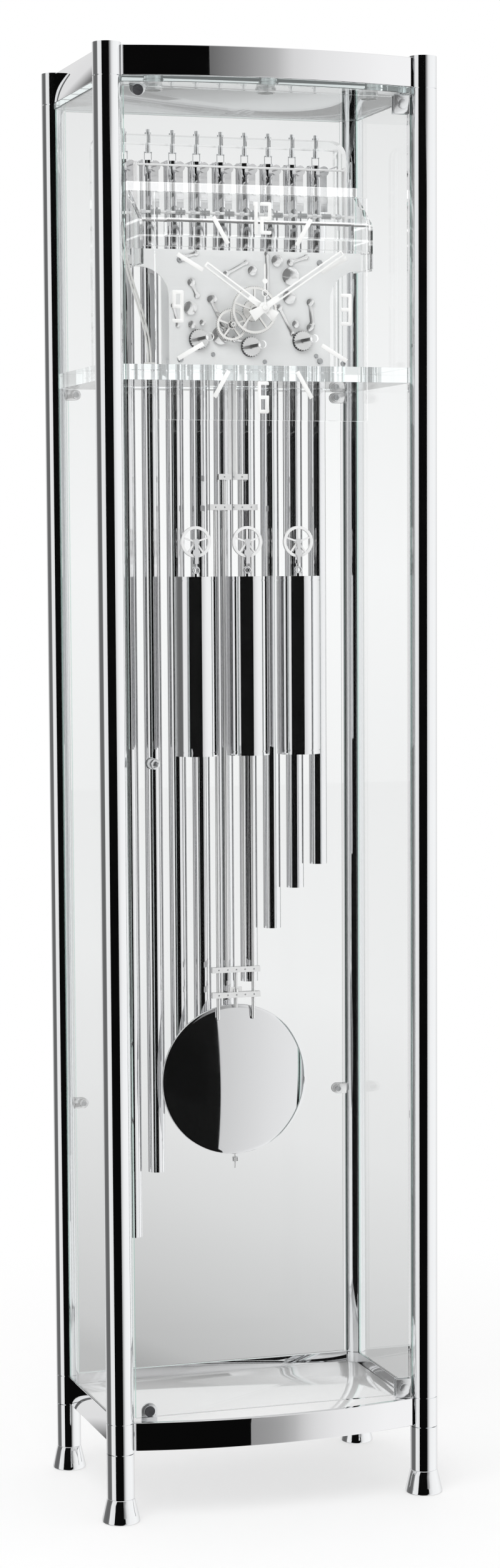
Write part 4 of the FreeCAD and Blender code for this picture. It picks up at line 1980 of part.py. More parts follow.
# Pendulum
def make_pendulum_frame():
    """Boss, strip, four bars and five rods of the gridiron, wing nut, and the rating rod."""
    y = PENDULUM_LINE
    boss_ends = about(y, S.pendulum_boss_width)
    pieces = [
        rod("PendulumBoss", "y", S.pendulum_boss_radius, (ZERO, PIVOT_HEIGHT), boss_ends),
        box(
            "PendulumLeader", both(S.leader_width / 2), about(y, S.leader_thickness),
            (BAR_1, PIVOT_HEIGHT),
        ),
    ]
    bars = (
        ("Bar1", S.grid_short_half, BAR_1), ("Bar2", S.grid_long_half, BAR_2),
        ("Bar3", S.grid_long_half, BAR_3), ("Bar4", S.grid_long_half, BAR_4),
    )
    for name, half, height in bars:
        pieces.append(box(name, both(half), about(y, S.grid_bar_size), about(height, S.grid_bar_size)))
    for sign, tag in ((-1, "Left"), (1, "Right")):
        inner = (S.inner_rod_place * sign, y)
        outer_x = S.outer_rod_place * sign
        pieces.append(rod("InnerRod" + tag, "z", S.grid_rod_radius, inner, (BAR_3, BAR_1)))
        pieces.append(rod(
            "OuterRod" + tag, "z", S.grid_rod_radius, (outer_x, y), (HOOK_HEIGHT, BAR_2),
        ))
        pieces.append(ball("HookBend" + tag, S.grid_rod_radius, outer_x, y, HOOK_HEIGHT))
        pieces.append(rod(
            "HookPin" + tag, "y", S.grid_rod_radius, (outer_x, HOOK_HEIGHT), (y, y + S.bob_offset),
        ))
    rod_end = BOB_HEIGHT + S.bob_radius - S.middle_rod_lap
    pieces.append(rod("MiddleRod", "z", S.grid_rod_radius, (ZERO, y), (rod_end, BAR_3)))
    wing_base = BAR_4 + S.grid_bar_size / 2
    wing_nut_ends = (wing_base, wing_base + S.wing_nut_height)
    pieces.append(rod("WingNut", "z", S.wing_nut_radius, (ZERO, y), wing_nut_ends))
    pieces.append(box(
        "Wings", both(S.wing_span), about(y, S.wing_thickness), (wing_base, wing_base + S.wing_height),
    ))
    whole = fuse("PendulumBlank", *pieces)
    pivot_hole = rod(
        "PendulumHole", "y", S.pendulum_pin_radius + S.running_fit, (ZERO, PIVOT_HEIGHT),
        longer(boss_ends, S.cut_overrun),
    )
    crutch_hole = rod(
        "CrutchHole", "y", S.crutch_pin_radius + S.slip_fit, (ZERO, PIVOT_HEIGHT - S.crutch_drop),
        longer(boss_ends, S.cut_overrun),
    )
    gridiron = cut("Gridiron", whole, pivot_hole, crutch_hole)
    low_axis = (ZERO, y + S.bob_offset)
    nut_base = PENDULUM_END + S.rating_nut_rise
    rating = fuse(
        "Rating",
        rod("RatingRod", "z", S.rating_rod_radius, low_axis, (PENDULUM_END, rating_rod_top())),
        rod("RatingNut", "z", S.rating_nut_radius, low_axis, (nut_base, nut_base + S.rating_nut_height)),
    )
    sub_part(group("PendulumFrame", gridiron, rating), "pendulum_frame")


def rating_rod_top():
    """Return the height at which the rating rod ends inside the bob."""
    return BOB_HEIGHT - S.bob_radius + S.rating_rod_depth


def make_pendulum_bob():
    """Lens-shaped bob: two large spheres within a round rim, bored for rating rod and hooks."""
    y = PENDULUM_LINE + S.bob_offset
    rise = (S.bob_depth - S.bob_rim) / 2
    radius = (S.bob_radius * S.bob_radius + rise * rise) / (rise * 2)
    offset = radius - S.bob_depth / 2
    front = ball("BobFront", radius, ZERO, y + offset, BOB_HEIGHT)
    back = ball("BobBack", radius, ZERO, y - offset, BOB_HEIGHT)
    rim = rod("BobRim", "y", S.bob_radius, (ZERO, BOB_HEIGHT), about(y, S.bob_depth))
    lens = common("BobLens", common("BobFaces", front, back), rim)
    tools = [rod(
        "BobRodHole", "z", S.rating_rod_radius + S.slip_fit, (ZERO, y),
        (BOB_HEIGHT - S.bob_radius - S.cut_overrun, rating_rod_top() + S.slip_fit),
    )]
    for sign, tag in ((-1, "Left"), (1, "Right")):
        tools.append(rod(
            "BobHookHole" + tag, "y", S.grid_rod_radius + S.slip_fit,
            (S.outer_rod_place * sign, HOOK_HEIGHT), (y - S.bob_depth, y + S.slip_fit),
        ))
    sub_part(cut("PendulumBob", lens, *tools), "pendulum_bob")


# Lamp lead: two wires from the plug on the shelf, up along the front left post.
# The points are chosen by hand, from the plug to the glass top.
LEAD_POINTS = (
    (-126.0, 0.0, 9.0), (-126.0, 0.0, 24.0), (-133.0, -10.0, 52.0), (-150.0, -35.0, 84.0),
    (-172.0, -68.0, 118.0), (-190.0, -96.0, 160.0), (-197.0, -108.0, 210.0),
    (-200.0, -112.0, 262.0), (-199.0, -113.0, 313.0), (-200.0, -112.0, 363.0),
)


ARC_REACH_SHARE = 0.45


def rounded_path(points):
    """Straight runs joined by tangent arcs, as large as the runs beside them allow."""
    edges = []
    start = points[0]
    radii = []
    for index in range(1, len(points) - 1):
        before = points[index] - points[index - 1]
        after = points[index + 1] - points[index]
        turn = before.getAngle(after)
        reach = min(before.Length, after.Length) * ARC_REACH_SHARE
        radii.append(reach / math.tan(turn / 2))
        into = points[index] - before.normalize() * reach
        out = points[index] + after.normalize() * reach
        bisector = (into + out) * 0.5 - points[index]
        centre_distance = math.hypot(radii[-1], reach)
        middle = points[index] + bisector.normalize() * (centre_distance - radii[-1])
        edges.append(Part.LineSegment(start, into).toShape())
        edges.append(Part.Arc(into, middle, out).toShape())
        start = out
    edges.append(Part.LineSegment(start, points[-1]).toShape())
    return Part.Wire(edges), radii


def make_lamp_lead():
    """Two thin wires and the plug that they enter."""
    shapes = []
    middle = float(FRONT) + float(S.case_depth) / 2
    shelf = float(SHELF_TOP)
    for side in (-1, 1):
        aside = side * float(S.lead_pair_gap) / 2
        points = [FreeCAD.Vector(x + aside, middle + y, shelf + z) for x, y, z in LEAD_POINTS]
        path, radii = rounded_path(points)
        first = points[1] - points[0]
        circle = Part.Wire(Part.makeCircle(float(S.lead_radius), points[0], first))
        tube = path.makePipeShell([circle], True, False)
        expected = math.pi * float(S.lead_radius) ** 2 * path.Length
        print("Radii of the bends of a wire:", [round(radius, 1) for radius in radii])
        print("Volume of the wire against its length:", round(tube.Volume / expected, 4))
        shapes.append(tube)
    x, y, z = LEAD_POINTS[0]
    shapes.append(flat_box(
        (x - float(S.plug_width) / 2, x + float(S.plug_width) / 2),
        (middle + y - float(S.plug_depth) / 2, middle + y + float(S.plug_depth) / 2),
        (shelf, shelf + float(S.plug_height)),
    ))
    sub_part(feature("LampLead", Part.makeCompound(shapes)), "lamp_lead")


# Build
def build_model():
    """Make every sub-part of the clock."""
    make_posts()
    make_corner_sleeves()
    make_legs()
    make_feet()
    make_front_rails()
    make_straight_rails()
    make_top_panel()
    make_floor_plate()
    make_wall_glass()
    make_post_clamps()
    make_door_glass()
    make_door_knob()
    make_door_hinges()
    make_door_seats()
    make_downlights()
    make_seat_shelf()
    make_tube_rack()
    make_tube_hangers()
    make_tubular_bells()
    make_hammer_rail()
    for index, x in enumerate(bell_places()):
        make_hammer(index, x)
    make_front_plate()
    make_back_plate()
    make_movement_pillars()
    make_front_levers()
    make_hood()
    make_dial_plate()
    make_dial_markers()
    make_hands()
    make_motion_work()
    make_escape_wheel()
    make_anchor()
    make_cables()
    for side in WEIGHT_PLACES:
        make_drum(side)
        make_weight(side)
        make_pulley(side)
    make_pendulum_frame()
    make_pendulum_bob()
    make_lamp_lead()


def check_model():
    """Stop if any object failed or any sub-part has no sound shape."""
    for item in DOC.Objects:
        for word in ("Invalid", "Error"):
            if word in item.State:
                raise RuntimeError(f"{item.Label} is {item.State}")
    for item in SUB_PARTS:
        if item.Shape.isNull() or not item.Shape.isValid() or not item.Shape.Solids:
            raise RuntimeError(f"{item.Label} has no sound shape")


def export_parts():
    """Write each sub-part to its own file."""
    os.makedirs("parts", exist_ok=True)
    for item in SUB_PARTS:
        item.Shape.exportStep(f"parts/{item.Label}.step")
        print(item.Label, len(item.Shape.Solids))


build_model()
DOC.recompute()
check_model()
export_parts()
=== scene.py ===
"""Looks of a free-standing longcase clock: camera, light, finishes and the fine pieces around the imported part."""

import json
import logging
import math
from dataclasses import dataclass, field
from enum import Enum
from typing import Optional, Sequence, Union

import bmesh
import bpy
from mathutils import Matrix, Vector

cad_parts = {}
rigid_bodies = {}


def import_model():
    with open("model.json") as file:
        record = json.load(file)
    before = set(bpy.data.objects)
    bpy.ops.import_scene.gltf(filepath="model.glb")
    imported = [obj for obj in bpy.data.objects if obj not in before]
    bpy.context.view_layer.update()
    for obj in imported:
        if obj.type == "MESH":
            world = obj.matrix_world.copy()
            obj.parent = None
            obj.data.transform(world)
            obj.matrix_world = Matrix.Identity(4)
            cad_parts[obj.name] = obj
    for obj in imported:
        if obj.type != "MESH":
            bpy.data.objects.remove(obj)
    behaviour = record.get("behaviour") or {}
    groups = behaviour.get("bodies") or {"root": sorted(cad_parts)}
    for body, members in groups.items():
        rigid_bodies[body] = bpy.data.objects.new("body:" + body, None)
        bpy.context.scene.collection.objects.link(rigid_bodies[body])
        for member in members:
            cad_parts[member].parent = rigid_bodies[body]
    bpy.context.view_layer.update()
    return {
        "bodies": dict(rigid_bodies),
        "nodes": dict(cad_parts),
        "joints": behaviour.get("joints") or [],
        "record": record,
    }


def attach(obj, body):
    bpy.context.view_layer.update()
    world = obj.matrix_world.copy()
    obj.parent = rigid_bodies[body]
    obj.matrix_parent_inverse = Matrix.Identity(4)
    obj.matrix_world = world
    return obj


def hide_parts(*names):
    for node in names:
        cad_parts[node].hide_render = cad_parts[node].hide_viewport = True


LOG = logging.getLogger("longcase_clock")
IMAGE_HEIGHT = 2507
WHITE = (1.0, 1.0, 1.0, 1.0)
BLACK = (0.0, 0.0, 0.0, 1.0)
DUST = (0.62, 0.63, 0.64, 1.0)
CABLE_STRAND_SHADE = (0.12, 0.12, 0.13, 1.0)
CLOUD_RANGE = (0.42, 0.72)
SPECK_RANGE = (0.55, 0.8)
FACE_RANGE = (0.75, 0.25)
# Ray depths are whole numbers, so this parts none from one or more.
ANY_DEPTH = 0.5
UPWARDS = (0.0, 0.0, 1.0)
SOCKET_KINDS = {"colour": "NodeSocketColor", "number": "NodeSocketFloat", "vector": "NodeSocketVector",
                "geometry": "NodeSocketGeometry", "material": "NodeSocketMaterial"}

Tree = bpy.types.NodeTree
Node = bpy.types.Node
Socket = bpy.types.NodeSocket
Sockets = bpy.types.bpy_prop_collection
Material = bpy.types.Material
Mesh = bpy.types.Mesh
Object = bpy.types.Object
Form = bmesh.types.BMesh
Value = Union[float, Socket]
Colour = tuple[float, float, float]
Point = tuple[float, float, float]
Stops = Sequence[tuple[float, float]]


class Facing(Enum):
    """Which way the head of a small fitting looks, as a turn of its own Z axis."""

    FRONT = (math.pi / 2, 0.0, 0.0)
    LEFT = (0.0, -math.pi / 2, 0.0)
    RIGHT = (0.0, math.pi / 2, 0.0)
    UP = (0.0, 0.0, 0.0)
    DOWN = (math.pi, 0.0, 0.0)


class Grain(Enum):
    """The direction in which a metal was brushed, as how far its noise is stretched along X, Y and Z."""

    NONE = (1.0, 1.0, 1.0)
    ACROSS = (0.02, 1.0, 1.0)
    UPRIGHT = (1.0, 1.0, 0.02)


class Wiring:
    """Adds nodes to a node tree and joins their sockets."""

    def __init__(self, tree: Tree) -> None:
        """Keep the node tree to build in."""
        self.tree = tree

    def node(self, kind: str, inputs: Optional[dict] = None, **settings: object) -> Node:
        """Add one node.

        Args:
            kind: the node's type name.
            inputs: values or sockets for its inputs, by name or number.
            settings: properties of the node.

        Returns:
            The new node.
        """
        node = self.tree.nodes.new(kind)
        for key, value in settings.items():
            setattr(node, key, value)
        for key, value in (inputs or {}).items():
            self.feed(node.inputs[key], value)
        return node

    def feed(self, target: Socket, value: object) -> None:
        """Give an input a plain value or a link.

        Args:
            target: the input socket.
            value: a number, a colour or an output socket.
        """
        if isinstance(value, Socket):
            self.tree.links.new(value, target)
        else:
            target.default_value = value

    def math(self, operation: str, first: Value, second: Value = 0.0, clamp: bool = False) -> Socket:
        """Return the result of one sum, which stays between 0 and 1 where asked."""
        return self.node("ShaderNodeMath", {0: first, 1: second}, operation=operation, use_clamp=clamp).outputs[0]

    def times(self, first: Value, second: Value) -> Socket:
        """Return the product of two numbers."""
        return self.math("MULTIPLY", first, second)

    def ramp(self, factor: Value, stops: Stops) -> Socket:
        """Add a ramp of greys.

        Args:
            factor: what the ramp reads.
            stops: pairs of place and grey.

        Returns:
            The ramp's colour socket.
        """
        node = self.node("ShaderNodeValToRGB", {"Fac": factor})
        elements = node.color_ramp.elements
        elements[0].position, elements[0].color = stops[0][0], colour((stops[0][1],) * 3)
        elements[1].position, elements[1].color = stops[-1][0], colour((stops[-1][1],) * 3)
        for place, grey in stops[1:-1]:
            elements.new(place).color = colour((grey,) * 3)
        return node.outputs["Color"]

    def span(self, value: Value, start: float, end: float, low: float = 0.0, high: float = 1.0) -> Socket:
        """Return a number that goes from low to high as the value goes from start to end, and is held there."""
        return self.node("ShaderNodeMapRange", {"Value": value, "From Min": start, "From Max": end, "To Min": low,
                                                "To Max": high}).outputs["Result"]

    def noise(self, place: Socket, scale: Value, detail: float, roughness: float = 0.5) -> Socket:
        """Return a noise read at a place, whose fine octaves weigh as much as the roughness says."""
        return self.node("ShaderNodeTexNoise", {"Vector": place, "Scale": scale, "Detail": detail,
                                                "Roughness": roughness}).outputs["Fac"]

    def blend(self, factor: Value, first: object, second: object) -> Socket:
        """Mix two colours.

        Args:
            factor: how much of the second.
            first: the first colour or socket.
            second: the second colour or socket.

        Returns:
            The mixed colour's socket.
        """
        node = self.node("ShaderNodeMix", data_type="RGBA", blend_type="MIX")
        for index, value in ((0, factor), (6, first), (7, second)):
            self.feed(node.inputs[index], value)
        return node.outputs[2]

    def coordinates(self) -> Sockets:
        """Return the texture coordinates."""
        return self.node("ShaderNodeTexCoord").outputs

    def split(self, vector: Socket) -> Sockets:
        """Return the X, Y and Z of a vector."""
        return self.node("ShaderNodeSeparateXYZ", {"Vector": vector}).outputs

    def triple(self, **parts: Value) -> Socket:
        """Return a vector made of the X, Y and Z that are named."""
        return self.node("ShaderNodeCombineXYZ", parts).outputs[0]

    def bump(self, height: Socket, strength: float, distance: float) -> Socket:
        """Return a normal that follows a height, which stands for a distance in metres."""
        return self.node("ShaderNodeBump", {"Height": height, "Strength": strength, "Distance": distance}).outputs[0]

    def group(self, tree: Tree, **values: object) -> Sockets:
        """Return the outputs of a shared node group that has these values for its inputs."""
        return self.node("ShaderNodeGroup", values, node_tree=tree).outputs

    def mix_shader(self, factor: Value, first: Node, second: Node) -> Node:
        """Return a mix of two shaders, with the factor as the share of the second."""
        return self.node("ShaderNodeMixShader", {0: factor, 1: first.outputs[0], 2: second.outputs[0]})

    def surface(self, shader: Node) -> None:
        """Give the material's output its shader."""
        self.feed(self.tree.nodes["Material Output"].inputs["Surface"], shader.outputs[0])


def colour(value: Colour) -> tuple[float, float, float, float]:
    """Return a colour with full alpha."""
    return (value[0], value[1], value[2], 1.0)


def new_group(name: str, given: Sequence[tuple], results: Sequence[tuple[str, str]],
              kind: str = "ShaderNodeTree") -> Tree:
    """Start a node group.

    Args:
        name: the group's name.
        given: the name, kind and, where it has one, usual value of each input.
        results: the name and kind of each output.
        kind: the type of the tree.

    Returns:
        The group with its sockets.
    """
    tree = bpy.data.node_groups.new(name, kind)
    for title, sort, *usual in given:
        socket = tree.interface.new_socket(name=title, in_out="INPUT", socket_type=SOCKET_KINDS[sort])
        if usual:
            socket.default_value = usual[0]
    for title, sort in results:
        tree.interface.new_socket(name=title, in_out="OUTPUT", socket_type=SOCKET_KINDS[sort])
    return tree


def new_material(name: str) -> tuple[Material, Wiring, Node]:
    """Start a material.

    Args:
        name: the material's name.

    Returns:
        The material, its wiring and its main shader.
    """
    material = bpy.data.materials.new(name)
    material.use_nodes = True
    material.node_tree.nodes.clear()
    w = Wiring(material.node_tree)
    shader = w.node("ShaderNodeBsdfPrincipled")
    w.node("ShaderNodeOutputMaterial", name="Material Output")
    w.surface(shader)
    return material, w, shader


class FinishGroups:
    """The shader node groups that several finishes share."""

    def __init__(self) -> None:
        """Build every group once."""
        self.handling = self.make_handling()
        self.brushing = self.make_brushing()
        self.edges = self.make_edges()

    @staticmethod
    def make_handling(scale: float = 18.0, fine_scale: float = 378.0) -> Tree:
        """Build the faint cloud of finger marks and dust that breaks up a polished surface.

        Args:
            scale: how fine the cloud is.
            fine_scale: how fine the dust is.

        Returns:
            The group, with a colour and a roughness.
        """
        tree = new_group("handling_marks", (
            ("Colour", "colour", (0.8, 0.8, 0.8, 1.0)), ("Roughness", "number", 0.05), ("Marks", "number", 0.04)),
            (("Colour", "colour"), ("Roughness", "number")))
        w = Wiring(tree)
        given = w.node("NodeGroupInput").outputs
        place = w.coordinates()["Object"]
        soft = w.span(w.noise(place, scale, detail=5.0, roughness=0.6), *CLOUD_RANGE)
        dust = w.times(soft, w.span(w.noise(place, fine_scale, detail=2.0), *SPECK_RANGE))
        amount = w.times(w.math("ADD", soft, dust), given["Marks"])
        w.node("NodeGroupOutput", {"Colour": w.blend(amount, given["Colour"], DUST),
                                   "Roughness": w.math("ADD", given["Roughness"], amount, clamp=True)})
        return tree

    @staticmethod
    def make_brushing() -> Tree:
        """Build the fine parallel lines of brushed metal.

        Returns:
            The group, with a tone and a height.
        """
        tree = new_group("brushed_lines", (
            ("Stretch", "vector", (1.0, 1.0, 1.0)), ("Scale", "number", 1500.0), ("Strength", "number", 0.1)),
            (("Tone", "number"), ("Height", "number")))
        w = Wiring(tree)
        given = w.node("NodeGroupInput").outputs
        drawn = w.node("ShaderNodeVectorMath", {0: w.coordinates()["Object"], 1: given["Stretch"]},
                       operation="MULTIPLY").outputs[0]
        lines = w.noise(drawn, given["Scale"], detail=3.0, roughness=0.7)
        swing = w.times(w.math("SUBTRACT", lines, 0.5), given["Strength"])
        w.node("NodeGroupOutput", {"Tone": swing, "Height": lines})
        return tree

    @staticmethod
    def make_edges() -> Tree:
        """Build the mask of a sheet's cut edges, from the piece's own normals and place.

        Returns:
            The group, with a mask that is 1 on the cut edges.
        """
        tree = new_group("cut_edges", (("Face", "vector", (0.0, 1.0, 0.0)), ("Side", "number", 9.0)),
                         (("Mask", "number"),))
        w = Wiring(tree)
        given = w.node("NodeGroupInput").outputs
        spots = w.coordinates()
        along = w.node("ShaderNodeVectorMath", {0: spots["Normal"], 1: given["Face"]}, operation="DOT_PRODUCT")
        aside = w.math("GREATER_THAN", w.math("ABSOLUTE", w.split(spots["Object"])["X"]), given["Side"])
        main = w.times(w.math("ABSOLUTE", along.outputs["Value"]), w.math("SUBTRACT", 1.0, aside))
        side = w.times(w.math("ABSOLUTE", w.split(spots["Normal"])["X"]), aside)
        w.node("NodeGroupOutput", {"Mask": w.span(w.math("ADD", main, side), *FACE_RANGE)})
        return tree


@dataclass(frozen=True)
class Metal:
    """A polished, satin or brushed metal."""

    name: str
    base: Colour
    roughness: float
    metallic: float = 1.0
    marks: float = 0.04
    grain: Grain = Grain.NONE
    line_strength: float = 0.0
    line_roughness: float = 0.6
    bump: float = 0.0
    # How dark the faces that look aside are painted, as painted shade; 1.0 leaves them unshaded.
    painted_side_shade_tone: float = 1.0

    def make(self, groups: FinishGroups) -> Material:
        """Build the material.

        Args:
            groups: the shared node groups.

        Returns:
            The material.
        """
        material, w, shader = new_material(self.name)
        handling = w.group(groups.handling, Colour=colour(self.base), Roughness=self.roughness, Marks=self.marks)
        brushing = w.group(groups.brushing, Stretch=self.grain.value, Strength=self.line_strength)
        tone = w.math("ADD", brushing["Tone"], 1.0)
        # Painted shade: the faces that look aside, found by the cut-edge mask, are darkened in the base colour.
        if self.painted_side_shade_tone < 1.0:
            shadow = w.times(w.group(groups.edges)["Mask"], 1.0 - self.painted_side_shade_tone)
            tone = w.times(tone, w.math("SUBTRACT", 1.0, shadow))
        shade = w.node("ShaderNodeVectorMath", {0: handling["Colour"], "Scale": tone}, operation="SCALE")
        w.feed(shader.inputs["Base Color"], shade.outputs[0])
        w.feed(shader.inputs["Roughness"], w.math("ADD", handling["Roughness"],
                                                  w.times(brushing["Tone"], self.line_roughness), clamp=True))
        shader.inputs["Metallic"].default_value = self.metallic
        if self.bump > 0:
            w.feed(shader.inputs["Normal"], w.bump(brushing["Height"], self.bump, distance=0.0001))
        return material


@dataclass(frozen=True)
class ClearSheet:
    """Glass or acrylic, clear through its faces and tinted at its cut edges."""

    name: str
    tint: Colour
    edge: Colour
    ior: float
    face: Point = (0.0, 1.0, 0.0)
    side: float = 9.0
    painted_edge_glow: float = 0.0
    edge_roughness: float = 0.03
    marks: float = 0.003
    pass_light: float = 0.985
    glow_bands: tuple[tuple[float, float, float], ...] = ()

    def make(self, groups: FinishGroups) -> Material:
        """Build the material.

        Args:
            groups: the shared node groups.

        Returns:
            The material.
        """
        material, w, shader = new_material(self.name)
        mask = w.group(groups.edges, Face=self.face, Side=self.side)["Mask"]
        handling = w.group(groups.handling, Roughness=0.0, Marks=self.marks, Colour=colour(self.tint))
        w.feed(shader.inputs["Base Color"], w.blend(mask, colour(self.tint), colour(self.edge)))
        w.feed(shader.inputs["Roughness"], w.math("ADD", handling["Roughness"], w.times(mask, self.edge_roughness)))
        shader.inputs["Transmission Weight"].default_value = 1.0
        shader.inputs["IOR"].default_value = self.ior
        # Painted highlight: the cut edges glow with light of their own, in place of the bright light caught in
        # polished edges.
        if self.painted_edge_glow > 0:
            w.feed(shader.inputs["Emission Color"], w.blend(mask, BLACK, colour(self.edge)))
            shader.inputs["Emission Strength"].default_value = self.painted_edge_glow
        # Painted glow: bands of the sheet at given heights give off light, standing in for light caught by its bends
        # and lip.
        if self.glow_bands:
            w.feed(shader.inputs["Emission Color"], self.painted_band_glow(w, w.split(w.coordinates()["Object"])["Z"]))
            shader.inputs["Emission Strength"].default_value = 1.0
        rays = w.node("ShaderNodeLightPath").outputs
        through = w.math("MAXIMUM", rays["Is Shadow Ray"], rays["Is Diffuse Ray"])
        clear = w.node("ShaderNodeBsdfTransparent", {"Color": colour((self.pass_light,) * 3)})
        w.surface(w.mix_shader(through, shader, clear))
        return material

    def painted_band_glow(self, w: Wiring, height: Socket) -> Socket:
        """Add up the bands of painted glow, where a bend or a lip of the sheet is painted brighter in place of the
        light that it scatters.

        Args:
            w: the material's wiring.
            height: the socket with the height of the shaded point.

        Returns:
            The socket with the glow.
        """
        glow = 0.0
        for centre, half, strength in self.glow_bands:
            inside = w.node("ShaderNodeMath", {0: height, 1: centre, 2: half}, operation="COMPARE").outputs[0]
            glow = w.math("ADD", w.times(inside, strength), glow)
        return glow


@dataclass(frozen=True)
class Coating:
    """Paint, enamel or plastic with a fine surface."""

    name: str
    base: Colour
    roughness: float
    coat: float = 0.0
    mottle: float = 0.05
    grain_scale: float = 900.0
    bump: float = 0.06

    def make(self, groups: FinishGroups) -> Material:
        """Build the material.

        Args:
            groups: the shared node groups.

        Returns:
            The material.
        """
        material, w, shader = new_material(self.name)
        handling = w.group(groups.handling, Colour=colour(self.base), Roughness=self.roughness, Marks=self.mottle)
        brushing = w.group(groups.brushing, Scale=self.grain_scale)
        w.feed(shader.inputs["Base Color"], handling["Colour"])
        w.feed(shader.inputs["Roughness"], handling["Roughness"])
        shader.inputs["Coat Weight"].default_value = self.coat
        w.feed(shader.inputs["Normal"], w.bump(brushing["Height"], self.bump, distance=0.0002))
        return material


@dataclass(frozen=True)
class Stranded:
    """Twisted steel cable, whose strands run round it."""

    name: str
    base: Colour
    roughness: float = 0.3
    turns: float = 260.0
    slant: float = 0.6
    painted_strand_shade: float = 0.55

    def make(self, groups: FinishGroups) -> Material:
        """Build the material.

        Args:
            groups: the shared node groups.

        Returns:
            The material.
        """
        material, w, shader = new_material(self.name)
        slant = w.node("ShaderNodeMapping", {"Vector": w.coordinates()["Object"],
                                             "Rotation": (0.0, self.slant, 0.0)}).outputs[0]
        wave = w.node("ShaderNodeTexWave", {"Vector": slant, "Scale": self.turns, "Distortion": 0.0},
                      wave_type="BANDS", bands_direction="Z").outputs["Fac"]
        handling = w.group(groups.handling, Colour=colour(self.base), Roughness=self.roughness)
        # Painted shade: the grooves between the strands are darkened along the wave bands.
        w.feed(shader.inputs["Base Color"], w.blend(w.times(wave, self.painted_strand_shade), handling["Colour"], CABLE_STRAND_SHADE))
        w.feed(shader.inputs["Roughness"], handling["Roughness"])
        shader.inputs["Metallic"].default_value = 1.0
        w.feed(shader.inputs["Normal"], w.bump(wave, strength=0.5, distance=0.0003))
        return material


GLASS_EDGE = (0.42, 0.66, 0.58)
# Height, half width and strength of each band of painted glow on the hood's bent lip.
HOOD_GLOW_BANDS = ((1.8105, 0.0070, 0.20), (1.7590, 0.0018, 0.20), (1.7380, 0.0013, 0.15))
FINISHES = (
    Metal("post_chrome", (0.86, 0.87, 0.88), 0.035, marks=0.03),
    Metal("rail_chrome", (0.88, 0.88, 0.89), 0.012, marks=0.02),
    Metal("weight_chrome", (0.88, 0.88, 0.89), 0.03, marks=0.02),
    Metal("bob_chrome", (0.88, 0.88, 0.89), 0.02, marks=0.02),
    Metal("bell_chrome", (0.88, 0.88, 0.89), 0.03, marks=0.03, grain=Grain.UPRIGHT, line_strength=0.02),
    Metal("satin_plate", (0.88, 0.89, 0.89), 0.38, metallic=0.1, grain=Grain.ACROSS, line_strength=0.10, bump=0.05),
    Metal("floor_steel", (0.92, 0.92, 0.92), 0.05, metallic=0.22, grain=Grain.ACROSS, line_strength=0.08, bump=0.03),
    Metal("turned_steel", (0.80, 0.81, 0.82), 0.16, metallic=0.85, marks=0.06, line_strength=0.05),
    Metal("pale_steel", (0.92, 0.92, 0.92), 0.2, metallic=0.2, marks=0.05, line_strength=0.05),
    Metal("frame_steel", (0.92, 0.92, 0.92), 0.1, metallic=0.7, painted_side_shade_tone=0.5),
    Metal("lever_steel", (0.92, 0.92, 0.92), 0.13, metallic=0.8, painted_side_shade_tone=0.15),
    Metal("wheel_steel", (0.97, 0.96, 0.94), 0.16, metallic=0.35, marks=0.05, line_strength=0.05, painted_side_shade_tone=0.12),
    Metal("hammer_steel", (0.86, 0.86, 0.87), 0.12, metallic=0.8, marks=0.05),
    Metal("lamp_steel", (0.60, 0.61, 0.61), 0.24, metallic=0.4, marks=0.05, line_strength=0.05),
    Metal("screw_steel", (0.60, 0.61, 0.62), 0.18, marks=0.08),
    Metal("spring_steel", (0.50, 0.51, 0.52), 0.25, marks=0.08),
    ClearSheet("door_glass", (0.98, 0.984, 0.984), GLASS_EDGE, 1.1),
    ClearSheet("wall_glass", (0.975, 0.982, 0.982), GLASS_EDGE, 1.2, side=0.2165),
    ClearSheet("top_glass", (0.91, 0.935, 0.935), (0.80, 0.86, 0.86), 1.3, face=UPWARDS, painted_edge_glow=0.1),
    ClearSheet("dial_acrylic", (0.99, 0.992, 0.992), (0.97, 0.98, 0.98), 1.25, painted_edge_glow=0.45),
    ClearSheet("hood_acrylic", (0.985, 0.988, 0.988), (0.985, 0.988, 0.988), 1.3, glow_bands=HOOD_GLOW_BANDS),
    ClearSheet("shelf_acrylic", (0.985, 0.99, 0.99), (0.95, 0.97, 0.97), 1.4, face=UPWARDS, painted_edge_glow=0.11),
    ClearSheet("rack_acrylic", (0.985, 0.99, 0.99), (0.97, 0.98, 0.98), 1.4, painted_edge_glow=0.1),
    Coating("dial_white", (0.90, 0.90, 0.89), 0.42),
    Coating("hand_white", (0.88, 0.88, 0.87), 0.38),
    Coating("lead_white", (0.80, 0.80, 0.78), 0.45),
    # Near-black coating, for the dark faces of the catch magnets and for the painted shade discs behind the ratchets.
    Coating("magnet_black_and_painted_gap_shade", (0.035, 0.035, 0.04), 0.35),
    Coating("lamp_lens", (0.93, 0.93, 0.90), 0.3, coat=0.4),
    Stranded("cable_steel", (0.62, 0.63, 0.64)),
)
